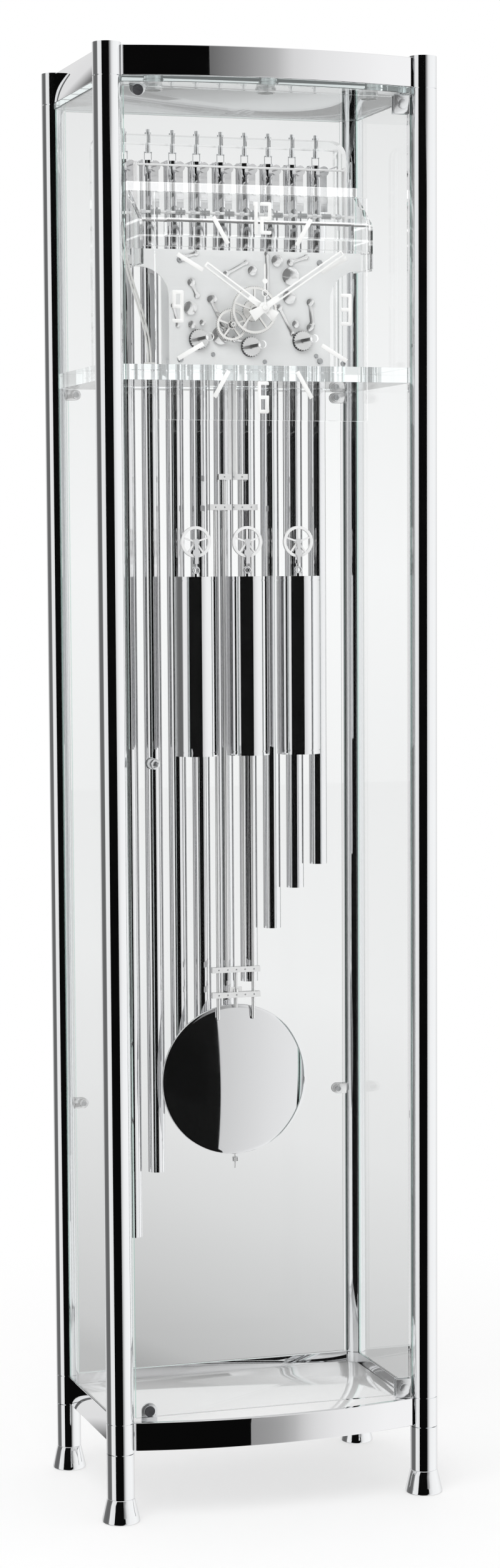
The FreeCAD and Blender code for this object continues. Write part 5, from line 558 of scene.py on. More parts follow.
FINISHED_NODES = {
    "post_chrome": "posts corner_sleeves legs feet",
    "rail_chrome": "front_rails straight_rails",
    "top_glass": "top_panel",
    "wall_glass": "wall_glass",
    "door_glass": "door_glass",
    "floor_steel": "floor_plate",
    "satin_plate": "front_plate back_plate",
    "frame_steel": "post_clamps pendulum_frame",
    "turned_steel": "door_seats door_hinges door_knob movement_pillars tube_hangers",
    "lever_steel": "front_levers anchor drum_left drum_middle drum_right",
    "pale_steel": "hammer_rail pulley_left pulley_middle pulley_right",
    "lamp_steel": "downlights",
    "shelf_acrylic": "seat_shelf",
    "rack_acrylic": "tube_rack",
    "hood_acrylic": "hood",
    "dial_acrylic": "dial_plate",
    "bell_chrome": "tubular_bells",
    "bob_chrome": "pendulum_bob",
    "weight_chrome": "weight_left weight_middle weight_right",
    "dial_white": "dial_markers",
    "hand_white": "hour_hand minute_hand seconds_hand",
    "lead_white": "lamp_lead",
    "cable_steel": "cable_leads cable_left cable_middle cable_right",
    "wheel_steel": "hour_wheel minute_wheel cannon_pinion escape_wheel",
    "hammer_steel": " ".join(f"hammer_{number}" for number in range(1, 10)),
}
NODE_FINISH = {node: finish for finish, nodes in FINISHED_NODES.items() for node in nodes.split()}


def mesh_from(form: Form, name: str, smooth: bool = False) -> Mesh:
    """Turn a form into a mesh and let the form go.

    Args:
        form: the form.
        name: the mesh's name.
        smooth: whether its faces are shaded smooth.

    Returns:
        The mesh.
    """
    mesh = bpy.data.meshes.new(name)
    form.to_mesh(mesh)
    form.free()
    for polygon in mesh.polygons:
        polygon.use_smooth = smooth
    return mesh


def skin(form: Form, rings: Sequence[list], count: int) -> None:
    """Join each ring of points to the next one with faces.

    Args:
        form: the form that holds the points.
        rings: the rings, of which one with a single point is a tip.
        count: how many faces go round.
    """
    for ring, after in zip(rings, rings[1:]):
        for step in range(count):
            following = (step + 1) % count
            loop = [ring[step % len(ring)], ring[following % len(ring)], after[following % len(after)],
                    after[step % len(after)]]
            form.faces.new(list(dict.fromkeys(loop)))


class Workshop:
    """Holds the frame and the finishes, and puts finished pieces on their bodies."""

    def __init__(self, frame: dict) -> None:
        """Build every finish once.
        """
        self.nodes = frame["nodes"]
        groups = FinishGroups()
        self.finishes = {finish.name: finish.make(groups) for finish in FINISHES}
        self.body_of = {node: body for body, names in frame["record"]["behaviour"]["bodies"].items() for node in names}

    def dress_nodes(self) -> None:
        """Give every node of the part its finish."""
        for name, finish in NODE_FINISH.items():
            mesh = self.nodes[name].data
            mesh.materials.clear()
            mesh.materials.append(self.finishes[finish])
        missing = sorted(set(self.nodes) - set(NODE_FINISH))
        if missing:
            LOG.warning("no finish for %s", missing)

    def place(self, piece: Object, body: str, slot: str, replaces: Sequence[str] = ()) -> Object:
        """Put a finished piece on a body.

        Args:
            piece: the piece, at the origin.
            body: the body that it rides on.
            slot: the record's slot for its finish; not used.
            replaces: the nodes that it stands for.

        Returns:
            The piece.
        """
        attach(piece, body)
        if replaces:
            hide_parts(*replaces)
        LOG.info("piece %s on %s, %d faces", piece.name, body, len(piece.data.polygons) if piece.type == "MESH" else 0)
        return piece

    def from_mesh(self, name: str, mesh: Mesh, finish: str) -> Object:
        """Make an object of a mesh.

        Args:
            name: the piece's name.
            mesh: its mesh.
            finish: the name of its finish.

        Returns:
            The object.
        """
        mesh.materials.clear()
        mesh.materials.append(self.finishes[finish])
        piece = bpy.data.objects.new(name, mesh)
        bpy.context.scene.collection.objects.link(piece)
        return piece


@dataclass(frozen=True)
class SoftenedPart:
    """A copy of a node with its sharp edges broken, as on the real piece."""

    node: str
    slot: str
    width: float
    segments: int = 2
    smooth: bool = True
    ease: float = 0.0
    merge: float = 0.000005
    flat: float = math.radians(0.4)
    angle: float = math.radians(32.0)

    def build(self, shop: Workshop) -> None:
        """Copy, merge, bevel and place.

        Args:
            shop: the workshop.
        """
        mesh = shop.nodes[self.node].data.copy()
        form = bmesh.new()
        form.from_mesh(mesh)
        bmesh.ops.remove_doubles(form, verts=form.verts, dist=self.merge)
        bmesh.ops.dissolve_limit(form, angle_limit=self.flat, verts=form.verts, edges=form.edges)
        if self.ease:
            form.normal_update()
            moves = [(vertex, vertex.normal * vertex.calc_shell_factor() * self.ease) for vertex in form.verts]
            for vertex, move in moves:
                vertex.co -= move
        form.to_mesh(mesh)
        form.free()
        mesh.name = self.node + "_soft"
        piece = shop.from_mesh(self.node + "_finished", mesh, NODE_FINISH[self.node])
        for polygon in mesh.polygons:
            polygon.use_smooth = self.smooth
        bevel = piece.modifiers.new("edges", "BEVEL")
        bevel.width = self.width
        bevel.segments = self.segments
        bevel.limit_method = "ANGLE"
        bevel.angle_limit = self.angle
        bevel.harden_normals = self.smooth
        bevel.use_clamp_overlap = True
        shop.place(piece, shop.body_of[self.node], self.slot, (self.node,))


@dataclass(frozen=True)
class BowedRails:
    """The two polished rails that bow out across the front, above and below the door."""

    radius: float = 0.76797
    front: float = -0.17108
    thickness: float = 0.008
    half_width: float = 0.2036
    bases: tuple[float, float] = (0.098, 1.9383)
    height: float = 0.039
    corner: float = 0.0009
    corner_steps: int = 3
    steps: int = 96

    def profile(self) -> list[tuple[float, float]]:
        """Draw the rounded section of a rail.

        Returns:
            Its points, as reach behind the front face and height.
        """
        near, far, top = self.corner, self.thickness - self.corner, self.height - self.corner
        points = []
        for reach, rise, start in ((near, near, math.pi), (far, near, 1.5 * math.pi), (far, top, 0.0),
                                   (near, top, 0.5 * math.pi)):
            for step in range(self.corner_steps + 1):
                angle = start + step / self.corner_steps * math.pi / 2
                points.append((reach + self.corner * math.cos(angle), rise + self.corner * math.sin(angle)))
        return points

    def build(self, shop: Workshop) -> None:
        """Sweep the section along the bow.

        Args:
            shop: the workshop.
        """
        form = bmesh.new()
        middle = self.front + self.radius
        limit = math.asin(self.half_width / self.radius)
        section = self.profile()
        for base in self.bases:
            rings = []
            for step in range(self.steps + 1):
                angle = -limit + 2 * limit * step / self.steps
                arms = [(self.radius - reach, rise) for reach, rise in section]
                rings.append([form.verts.new((arm * math.sin(angle), middle - arm * math.cos(angle), base + rise))
                              for arm, rise in arms])
            skin(form, rings, len(section))
            form.faces.new(rings[0])
            form.faces.new(rings[-1])
        bmesh.ops.recalc_face_normals(form, faces=form.faces)
        piece = shop.from_mesh("bowed_rails", mesh_from(form, "bowed_rails", True), "rail_chrome")
        piece.modifiers.new("flat_faces", "WEIGHTED_NORMAL").weight = 100
        shop.place(piece, "case", "chrome_rails", ("front_rails",))


@dataclass(frozen=True)
class PolishedBob:
    """The round bob: two shallow domes on a thin rim, turned on a lathe."""

    centre: Point = (0.0, 0.03975, 0.572)
    radius: float = 0.1075
    half_depth: float = 0.009
    half_rim: float = 0.002
    rim_round: float = 0.0010
    shoulder_across: float = 0.3
    shoulder_ahead: float = 0.35
    rim_share: float = 0.3
    rings: int = 26
    steps: int = 160

    def outline(self) -> list[tuple[float, float]]:
        """Draw the front half of the bob's section.

        Returns:
            Its points, as radius and reach ahead of the middle.
        """
        rise = self.half_depth - self.half_rim
        dome = (self.radius ** 2 + rise ** 2) / (2 * rise)
        points = []
        for step in range(self.rings):
            reach = (self.radius - self.rim_round) * step / (self.rings - 1)
            points.append((reach, math.sqrt(dome ** 2 - reach ** 2) - dome + self.half_depth))
        points.append((self.radius - self.rim_round * self.shoulder_across,
                       points[-1][1] - self.rim_round * self.shoulder_ahead))
        points.append((self.radius, self.half_rim * self.rim_share))
        return points

    def build(self, shop: Workshop) -> None:
        """Turn the section about its axis.

        Args:
            shop: the workshop.
        """
        half = self.outline()
        x, y, z = self.centre
        form = bmesh.new()
        rings = []
        for reach, ahead in half + [(reach, -ahead) for reach, ahead in reversed(half)]:
            angles = [math.tau * step / self.steps for step in range(self.steps)] if reach else [0.0]
            rings.append([form.verts.new((x + reach * math.cos(angle), y - ahead, z + reach * math.sin(angle)))
                          for angle in angles])
        skin(form, rings, self.steps)
        bmesh.ops.recalc_face_normals(form, faces=form.faces)
        piece = shop.from_mesh("polished_bob", mesh_from(form, "polished_bob", True), "bob_chrome")
        shop.place(piece, "pendulum_body", "chrome_bob", ("pendulum_bob",))


def label(name: str) -> str:
    """Return the socket name of a size, such as Head radius for head_radius."""
    return name.replace("_", " ").capitalize()


class FittingTree:
    """A geometry node tree that puts one small fitting on every point of a mesh."""

    def __init__(self, name: str, **sizes: float) -> None:
        """Start the tree.

        Args:
            name: the tree's name.
            sizes: the fitting's named sizes with their usual values, in metres.
        """
        given = [("Geometry", "geometry"), ("Turn", "vector", (0.0, 0.0, 0.0)), ("Finish", "material")]
        given += [(label(size), "number", value) for size, value in sizes.items()]
        self.tree = new_group(name, given, (("Geometry", "geometry"),), "GeometryNodeTree")
        self.w = Wiring(self.tree)
        self.given = self.w.node("NodeGroupInput").outputs

    def finish(self, fitting: Socket) -> Tree:
        """Instance the fitting on the points and close the tree.

        Args:
            fitting: the fitting's geometry.

        Returns:
            The finished tree.
        """
        points = self.w.node("GeometryNodeMeshToPoints", {"Mesh": self.given["Geometry"]})
        real = self.spread(points.outputs[0], fitting, self.given["Turn"])
        dressed = self.w.node("GeometryNodeSetMaterial", {"Geometry": real, "Material": self.given["Finish"]})
        self.w.node("NodeGroupOutput", {"Geometry": dressed.outputs[0]})
        return self.tree

    def spread(self, points: Socket, form: Socket, turn: Socket) -> Socket:
        """Return real copies of a form on points, each with its turn."""
        placed = self.w.node("GeometryNodeInstanceOnPoints", {"Points": points, "Instance": form, "Rotation": turn})
        return self.w.node("GeometryNodeRealizeInstances", {"Geometry": placed.outputs[0]}).outputs[0]

    def solid(self, kind: str, **inputs: object) -> Socket:
        """Return a simple mesh, such as a Cone or a Cube, with inputs named with low lines for spaces."""
        named = {name.replace("_", " "): value for name, value in inputs.items()}
        return self.w.node("GeometryNodeMesh" + kind, named).outputs["Mesh"]

    def moved(self, geometry: Socket, height: Value) -> Socket:
        """Return a form that is lifted along Z."""
        return self.w.node("GeometryNodeTransform", {"Geometry": geometry,
                                                     "Translation": self.w.triple(Z=height)}).outputs[0]

    def cut(self, form: Socket, tool: Socket) -> Socket:
        """Return a form less a tool."""
        node = self.w.node("GeometryNodeMeshBoolean", {"Mesh 1": form, "Mesh 2": tool}, operation="DIFFERENCE")
        return node.outputs["Mesh"]

    def circle(self, count: int, radius: Value) -> Socket:
        """Return a round curve."""
        return self.w.node("GeometryNodeCurvePrimitiveCircle", {"Resolution": count, "Radius": radius},
                           mode="RADIUS").outputs[0]

    def tube(self, line: Socket, section: Socket, caps: bool = False) -> Socket:
        """Return a section swept along a curve, with closed ends where asked."""
        return self.w.node("GeometryNodeCurveToMesh", {"Curve": line, "Profile Curve": section,
                                                       "Fill Caps": caps}).outputs[0]


def screw_tree() -> Tree:
    """Build a slotted cheese-head screw with a broken edge.

    Returns:
        The geometry node tree.
    """
    fitting = FittingTree("slotted_screws", head_radius=0.003, head_height=0.0016, slot_width=0.0008)
    w = fitting.w
    radius, height = fitting.given["Head radius"], fitting.given["Head height"]
    straight, narrow, blade_length, blade_rise = 0.7, 0.82, 2.4, 1.05
    body = fitting.solid("Cylinder", Vertices=24, Radius=radius, Depth=w.times(height, straight))
    crown = fitting.solid("Cone", Vertices=24, Radius_Top=w.times(radius, narrow), Radius_Bottom=radius,
                          Depth=w.times(height, 1.0 - straight))
    head = w.node("GeometryNodeJoinGeometry")
    for form, rise in ((crown, straight), (body, straight / 2)):
        w.tree.links.new(fitting.moved(form, w.times(height, rise)), head.inputs[0])
    merged = w.node("GeometryNodeMergeByDistance", {"Geometry": head.outputs[0], "Distance": 0.00001})
    size = w.triple(X=w.times(radius, blade_length), Y=fitting.given["Slot width"], Z=height)
    blade = fitting.moved(fitting.solid("Cube", Size=size), w.times(height, blade_rise))
    return fitting.finish(fitting.cut(merged.outputs[0], blade))


def socket_tree() -> Tree:
    """Build a low cap screw with a six-sided socket.

    Returns:
        The geometry node tree.
    """
    fitting = FittingTree("socket_screws", head_radius=0.004, head_height=0.002, socket_radius=0.0018)
    w = fitting.w
    radius, height = fitting.given["Head radius"], fitting.given["Head height"]
    narrow, bore_rise = 0.86, 0.75
    crown = fitting.solid("Cone", Vertices=28, Radius_Top=w.times(radius, narrow), Radius_Bottom=radius, Depth=height)
    bore = fitting.solid("Cylinder", Vertices=6, Radius=fitting.given["Socket radius"], Depth=height)
    return fitting.finish(fitting.cut(crown, fitting.moved(bore, w.times(height, bore_rise))))


def spring_tree() -> Tree:
    """Build a close-wound wire spring.

    Returns:
        The geometry node tree.
    """
    fitting = FittingTree("wire_springs", coil_radius=0.0032, coil_length=0.012, wire_radius=0.00045)
    coil, length = fitting.given["Coil radius"], fitting.given["Coil length"]
    line = fitting.w.node("GeometryNodeCurveSpiral", {"Resolution": 12, "Rotations": 8.0, "Start Radius": coil,
                                                      "End Radius": coil, "Height": length})
    tube = fitting.tube(line.outputs[0], fitting.circle(6, fitting.given["Wire radius"]), caps=True)
    return fitting.finish(fitting.moved(tube, fitting.w.times(length, -0.5)))


def rim_tree() -> Tree:
    """Build a rolled ring, for the ends of the bells and the lips of the lamps.

    Returns:
        The geometry node tree.
    """
    fitting = FittingTree("rolled_rims", rim_radius=0.0121, roll_radius=0.0007)
    line = fitting.circle(40, fitting.given["Rim radius"])
    return fitting.finish(fitting.tube(line, fitting.circle(8, fitting.given["Roll radius"])))


def knurl_tree(count: int = 36) -> Tree:
    """Build a ring of small ridges for a nut that is turned by hand.

    Args:
        count: how many ridges it has.

    Returns:
        The geometry node tree.
    """
    fitting = FittingTree("knurled_rings", ring_radius=0.006, ridge_width=0.0006, ridge_length=0.005)
    w = fitting.w
    width = fitting.given["Ridge width"]
    ridge = fitting.solid("Cube", Size=w.triple(X=width, Y=width, Z=fitting.given["Ridge length"]))
    turned = w.node("GeometryNodeTransform", {"Geometry": ridge, "Rotation": (0.0, 0.0, math.pi / 4)}).outputs[0]
    step = w.times(w.node("GeometryNodeInputIndex").outputs[0], math.tau / count)
    line = fitting.solid("Circle", Vertices=count, Radius=fitting.given["Ring radius"])
    return fitting.finish(fitting.spread(line, turned, w.triple(Z=step)))


def cap_tree(narrow: float = 0.85) -> Tree:
    """Build a low round cap, for the lenses of the lamps and the pins of the gridiron.

    Args:
        narrow: the share of its radius that its face has.

    Returns:
        The geometry node tree.
    """
    fitting = FittingTree("round_caps", cap_radius=0.0105, cap_height=0.001)
    radius = fitting.given["Cap radius"]
    return fitting.finish(fitting.solid("Cone", Vertices=32, Radius_Top=fitting.w.times(radius, narrow),
                                        Radius_Bottom=radius, Depth=fitting.given["Cap height"]))


class Fittings:
    """Makes the small repeated fittings, one piece for each body."""

    def __init__(self, shop: Workshop) -> None:
        """Keep the workshop and build each tree once."""
        self.shop = shop
        self.trees = {"screw": screw_tree(), "socket": socket_tree(), "spring": spring_tree(), "rim": rim_tree(),
                      "knurl": knurl_tree(), "cap": cap_tree()}

    def real_mesh(self, row: "FittingRow") -> Mesh:
        """Run a row's tree over its points.

        Args:
            row: the row of fittings.

        Returns:
            The mesh of all its fittings.
        """
        seed = bpy.data.meshes.new(row.name + "_points")
        seed.from_pydata(list(row.points), [], [])
        carrier = bpy.data.objects.new(row.name + "_carrier", seed)
        bpy.context.scene.collection.objects.link(carrier)
        tree = self.trees[row.kind]
        modifier = carrier.modifiers.new("fittings", "NODES")
        modifier.node_group = tree
        ids = {item.name: item.identifier for item in tree.interface.items_tree if item.in_out == "INPUT"}
        modifier[ids["Turn"]] = row.facing.value
        modifier[ids["Finish"]] = self.shop.finishes[row.finish]
        for key, value in row.sizes.items():
            modifier[ids[label(key)]] = value
        graph = bpy.context.evaluated_depsgraph_get()
        graph.update()
        mesh = bpy.data.meshes.new_from_object(carrier.evaluated_get(graph), depsgraph=graph)
        carrier.modifiers.remove(modifier)
        bpy.data.objects.remove(carrier)
        return mesh


@dataclass(frozen=True)
class FittingRow:
    """Fittings on one body that share a form, a size and a direction."""

    name: str
    kind: str
    points: Sequence[Point]
    facing: Facing
    finish: str = "screw_steel"
    slot: str = "steel_parts"
    body: str = "case"
    sizes: dict = field(default_factory=dict)

    def build(self, fittings: Fittings) -> None:
        """Make the row's piece.

        Args:
            fittings: the maker of fittings.
        """
        mesh = fittings.real_mesh(self)
        mesh.name = self.name
        piece = fittings.shop.from_mesh(self.name, mesh, self.finish)
        for polygon in mesh.polygons:
            polygon.use_smooth = self.kind in ("spring", "rim")
        fittings.shop.place(piece, self.body, self.slot)


def grid(across: Sequence[float], depth: float, heights: Sequence[float]) -> list[Point]:
    """Return the points at each place across and each height, at one depth."""
    return [(x, depth, z) for x in across for z in heights]


# Places of the fittings, in metres
PLATE_FACE = -0.0532
PILLARS = {"across": (-0.100, 0.100), "heights": (1.577, 1.710)}
LEVER_POSTS = ((-0.0535, 1.584), (0.0205, 1.575), (0.0945, 1.584))
RATCHETS = ((-0.074, 1.604), (0.0, 1.595), (0.074, 1.604))
AXLE = (-0.01525, 1.775)
BELLS = range(-4, 5)
BELL_PITCH = 0.035
BELL_LINE = 0.07875
BELL_TOP = 1.857
BELL_ROLL = 0.0007
RACK_ENDS = (-0.176, 0.176)
RACK_FACE = BELL_LINE - 0.0121
RACK_SCREWS = 1.582
CLAMP_HEIGHTS = (0.532, 1.5385)
FRONT_CLAMP = (0.2125, -0.10275)
REAR_CLAMP = (0.1915, 0.13925)
LAMPS = ((-0.1487, -0.10045), (0.0039, -0.11565), (0.1554, -0.10045))
LAMP_LIPS = 1.9265
LAMP_LENSES = 1.9318
MAGNETS = ((-0.178, -0.13105, 0.148), (-0.178, -0.13105, 1.9218))
BAR_FACE = 0.02775
BARS = (1.4215, 1.3795, 0.730, 0.694)
RODS = (-0.026, -0.0128, 0.0, 0.0128, 0.026)
SHORT_BAR = 0.02
RATING_NUT = (0.0, 0.03975, 0.457)
CLAMP_SCREW = {"head_radius": 0.0040, "head_height": 0.0010, "socket_radius": 0.0020}
FITTINGS = (
    FittingRow("plate_screws", "screw", grid(depth=PLATE_FACE, **PILLARS), Facing.FRONT,
               sizes={"head_radius": 0.0042, "head_height": 0.0020, "slot_width": 0.0010}),
    FittingRow("post_screws", "screw", [(x, PLATE_FACE, z) for x, z in LEVER_POSTS], Facing.FRONT,
               sizes={"head_radius": 0.0030, "head_height": 0.0015, "slot_width": 0.0008}),
    # Painted shade: dark discs behind the ratchets stand for the shade in the gap between ratchet and plate, seen
    # between the teeth.
    FittingRow("ratchet_painted_shade_discs", "cap", [(x, PLATE_FACE, z) for x, z in RATCHETS], Facing.FRONT, "magnet_black_and_painted_gap_shade",
               sizes={"cap_radius": 0.0138, "cap_height": 0.0022}),
    FittingRow("hammer_springs", "spring", [(BELL_PITCH * (step + 0.5), *AXLE) for step in BELLS[:-1]],
               Facing.RIGHT, "spring_steel",
               sizes={"coil_radius": 0.0033, "coil_length": 0.014, "wire_radius": 0.0005}),
    FittingRow("bell_rims", "rim", [(BELL_PITCH * step, BELL_LINE, BELL_TOP - BELL_ROLL) for step in BELLS],
               Facing.UP, "bell_chrome", "chrome_bells", sizes={"rim_radius": 0.0120, "roll_radius": BELL_ROLL}),
    FittingRow("rack_screws", "socket", grid(RACK_ENDS, RACK_FACE, (RACK_SCREWS,)), Facing.FRONT,
               sizes={"head_radius": 0.0040, "head_height": 0.0018, "socket_radius": 0.0018}),
    FittingRow("lamp_rims", "rim", [(x, y, LAMP_LIPS) for x, y in LAMPS], Facing.DOWN, "lamp_steel", "lamp_metal",
               sizes={"rim_radius": 0.0118, "roll_radius": 0.0006}),
    FittingRow("lamp_lenses", "cap", [(x, y, LAMP_LENSES) for x, y in LAMPS], Facing.DOWN, "lamp_lens", "lamp_metal",
               sizes={"cap_radius": 0.0105, "cap_height": 0.0008}),
    FittingRow("catch_magnets", "cap", MAGNETS, Facing.FRONT, "magnet_black_and_painted_gap_shade",
               sizes={"cap_radius": 0.0074, "cap_height": 0.00012}),
    FittingRow("front_clamp_screws_right", "socket", grid((-FRONT_CLAMP[0],), FRONT_CLAMP[1], CLAMP_HEIGHTS),
               Facing.RIGHT, sizes=CLAMP_SCREW),
    FittingRow("front_clamp_screws_left", "socket", grid((FRONT_CLAMP[0],), FRONT_CLAMP[1], CLAMP_HEIGHTS),
               Facing.LEFT, sizes=CLAMP_SCREW),
    FittingRow("rear_clamp_screws", "socket", grid((-REAR_CLAMP[0], REAR_CLAMP[0]), REAR_CLAMP[1], CLAMP_HEIGHTS),
               Facing.FRONT, sizes=CLAMP_SCREW),
    FittingRow("bar_pins", "cap", [(x, BAR_FACE, z) for z in BARS for x in RODS if z < BARS[0] or abs(x) < SHORT_BAR],
               Facing.FRONT, "spring_steel", body="pendulum_body",
               sizes={"cap_radius": 0.0012, "cap_height": 0.0003}),
    FittingRow("nut_ridges", "knurl", (RATING_NUT,), Facing.UP, "frame_steel", body="pendulum_body",
               sizes={"ring_radius": 0.0040, "ridge_width": 0.0005, "ridge_length": 0.0054}),
)


@dataclass(frozen=True)
class LampLead:
    """The two thin wires of the lamps, and the plug on the shelf that they enter."""

    middle: float = 0.00675
    shelf: float = 1.567
    gap: float = 0.004
    radius: float = 0.0015
    plug_size: Point = (0.018, 0.012, 0.009)
    plug_round: float = 0.0022
    route: tuple[Point, ...] = (
        (-0.126, 0.0, 0.009), (-0.126, 0.0, 0.024), (-0.133, -0.010, 0.052), (-0.150, -0.035, 0.084),
        (-0.172, -0.068, 0.118), (-0.190, -0.096, 0.160), (-0.197, -0.108, 0.210),
        (-0.200, -0.112, 0.262), (-0.199, -0.113, 0.313), (-0.200, -0.112, 0.363),
    )

    def build(self, shop: Workshop) -> None:
        """Draw both wires and the plug.

        Args:
            shop: the workshop.
        """
        plug = self.make_plug(shop)
        for tag, aside in (("left", -self.gap / 2), ("right", self.gap / 2)):
            points = [(x + aside, self.middle + y, self.shelf + z) for x, y, z in self.route]
            wire = self.make_wire("lamp_wire_" + tag, points, shop.finishes["lead_white"])
            shop.place(wire, "case", "lead_plastic")
            self.length(points)

    def make_wire(self, name: str, points: Sequence[Point], finish: Material) -> Object:
        """Draw one wire as a smooth round curve.

        Args:
            name: the wire's name.
            points: its route.
            finish: its material.

        Returns:
            The wire.
        """
        curve = bpy.data.curves.new(name, "CURVE")
        curve.dimensions = "3D"
        curve.bevel_depth = self.radius
        curve.bevel_resolution = 3
        curve.resolution_u = 8
        curve.use_fill_caps = True
        line = curve.splines.new("NURBS")
        line.points.add(len(points) - 1)
        for spot, place in zip(line.points, points):
            spot.co = (*place, 1.0)
        line.order_u = 3
        line.use_endpoint_u = True
        curve.materials.append(finish)
        wire = bpy.data.objects.new(name, curve)
        bpy.context.scene.collection.objects.link(wire)
        return wire

    @staticmethod
    def length(points: Sequence[Point]) -> float:
        """Measure the smooth line through a route, by the middles of its runs.

        Args:
            points: the route.

        Returns:
            The length in metres.
        """
        middles = [Vector(points[0])]
        middles += [(Vector(a) + Vector(b)) / 2 for a, b in zip(points, points[1:])]
        middles.append(Vector(points[-1]))
        return sum((b - a).length for a, b in zip(middles, middles[1:]))

    def make_plug(self, shop: Workshop) -> Object:
        """Make the moulded plug with rounded shoulders.

        Args:
            shop: the workshop.

        Returns:
            The plug.
        """
        form = bmesh.new()
        bmesh.ops.create_cube(form, size=1.0)
        place = Matrix.Translation((self.route[0][0], self.middle, self.shelf + self.plug_size[2] / 2))
        bmesh.ops.transform(form, matrix=place @ Matrix.Diagonal((*self.plug_size, 1.0)), verts=form.verts)
        bmesh.ops.bevel(form, geom=form.edges, offset=self.plug_round, segments=4, affect="EDGES")
        piece = shop.from_mesh("lamp_plug", mesh_from(form, "lamp_plug"), "lead_white")
        return shop.place(piece, "case", "lead_plastic", ("lamp_lead",))


@dataclass(frozen=True)
class PhotoCamera:
    """The camera that stands where the photograph was taken."""

    place: Point = (-1.34449, -4.25885, 1.29409)
    yaw: float = 0.3084
    pitch: float = -0.0956
    roll: float = -0.0060
    focal_pixels: float = 5118.48
    centre_row: float = 1400.0
    sensor: float = 24.0

    def build(self) -> None:
        """Create the camera and make it the scene's own."""
        ahead = Vector((math.sin(self.yaw), math.cos(self.yaw), 0.0))
        right = Vector((math.cos(self.yaw), -math.sin(self.yaw), 0.0))
        up = Vector(UPWARDS)
        look = ahead * math.cos(self.pitch) + up * math.sin(self.pitch)
        rise = -ahead * math.sin(self.pitch) + up * math.cos(self.pitch)
        across = right * math.cos(self.roll) + rise * math.sin(self.roll)
        above = -right * math.sin(self.roll) + rise * math.cos(self.roll)
        data = bpy.data.cameras.new("photo_camera")
        data.sensor_fit = "VERTICAL"
        data.sensor_height = self.sensor
        data.lens = self.focal_pixels / IMAGE_HEIGHT * self.sensor
        data.shift_y = (self.centre_row - IMAGE_HEIGHT / 2) / IMAGE_HEIGHT
        data.clip_end = 100.0
        camera = bpy.data.objects.new("photo_camera", data)
        turn = Matrix((across, above, -look)).transposed().to_4x4()
        camera.matrix_world = Matrix.Translation(self.place) @ turn
        bpy.context.scene.collection.objects.link(camera)
        bpy.context.scene.camera = camera


# Greys of the mirrored walls, each with its direction round the clock in degrees
LEFT_WALL = ((-180.0, 0.80), (-160.0, 0.80), (-146.0, 0.20), (-120.0, 0.14), (-97.0, 0.16), (-90.0, 0.95),
             (-66.0, 0.90), (-56.0, 0.84))
RIGHT_WALL = ((84.0, 1.05), (104.0, 1.0), (126.0, 0.86), (150.0, 0.7), (180.0, 0.6))
LOW_WALL = ((10.0, 0.70), (14.8, 0.70), (26.0, 0.86), (42.0, 1.0))
HIGH_WALL = ((0.0, 0.16), (3.9, 0.16), (11.0, 0.31), (18.0, 0.50), (22.0, 0.74), (28.0, 0.86), (44.0, 1.0))
LOWEST_WALL = ((11.0, 0.31), (15.0, 0.35), (18.0, 0.40), (21.0, 0.51), (23.0, 0.65), (26.0, 0.78), (31.0, 0.88),
               (44.0, 1.0))
# Greys behind the glass, with the height on the wall and the distance on the floor from 0 to 1
WALL_THROUGH_GLASS = ((0.0, 0.70), (0.41, 0.72), (0.455, 0.86), (0.5, 1.0), (0.525, 0.95), (0.55, 0.82), (1.0, 0.80))
FLOOR_THROUGH_GLASS = ((0.0, 0.34), (0.067, 0.40), (0.103, 0.52), (0.2, 0.62), (0.333, 0.72), (0.53, 0.82),
                       (1.0, 0.90))


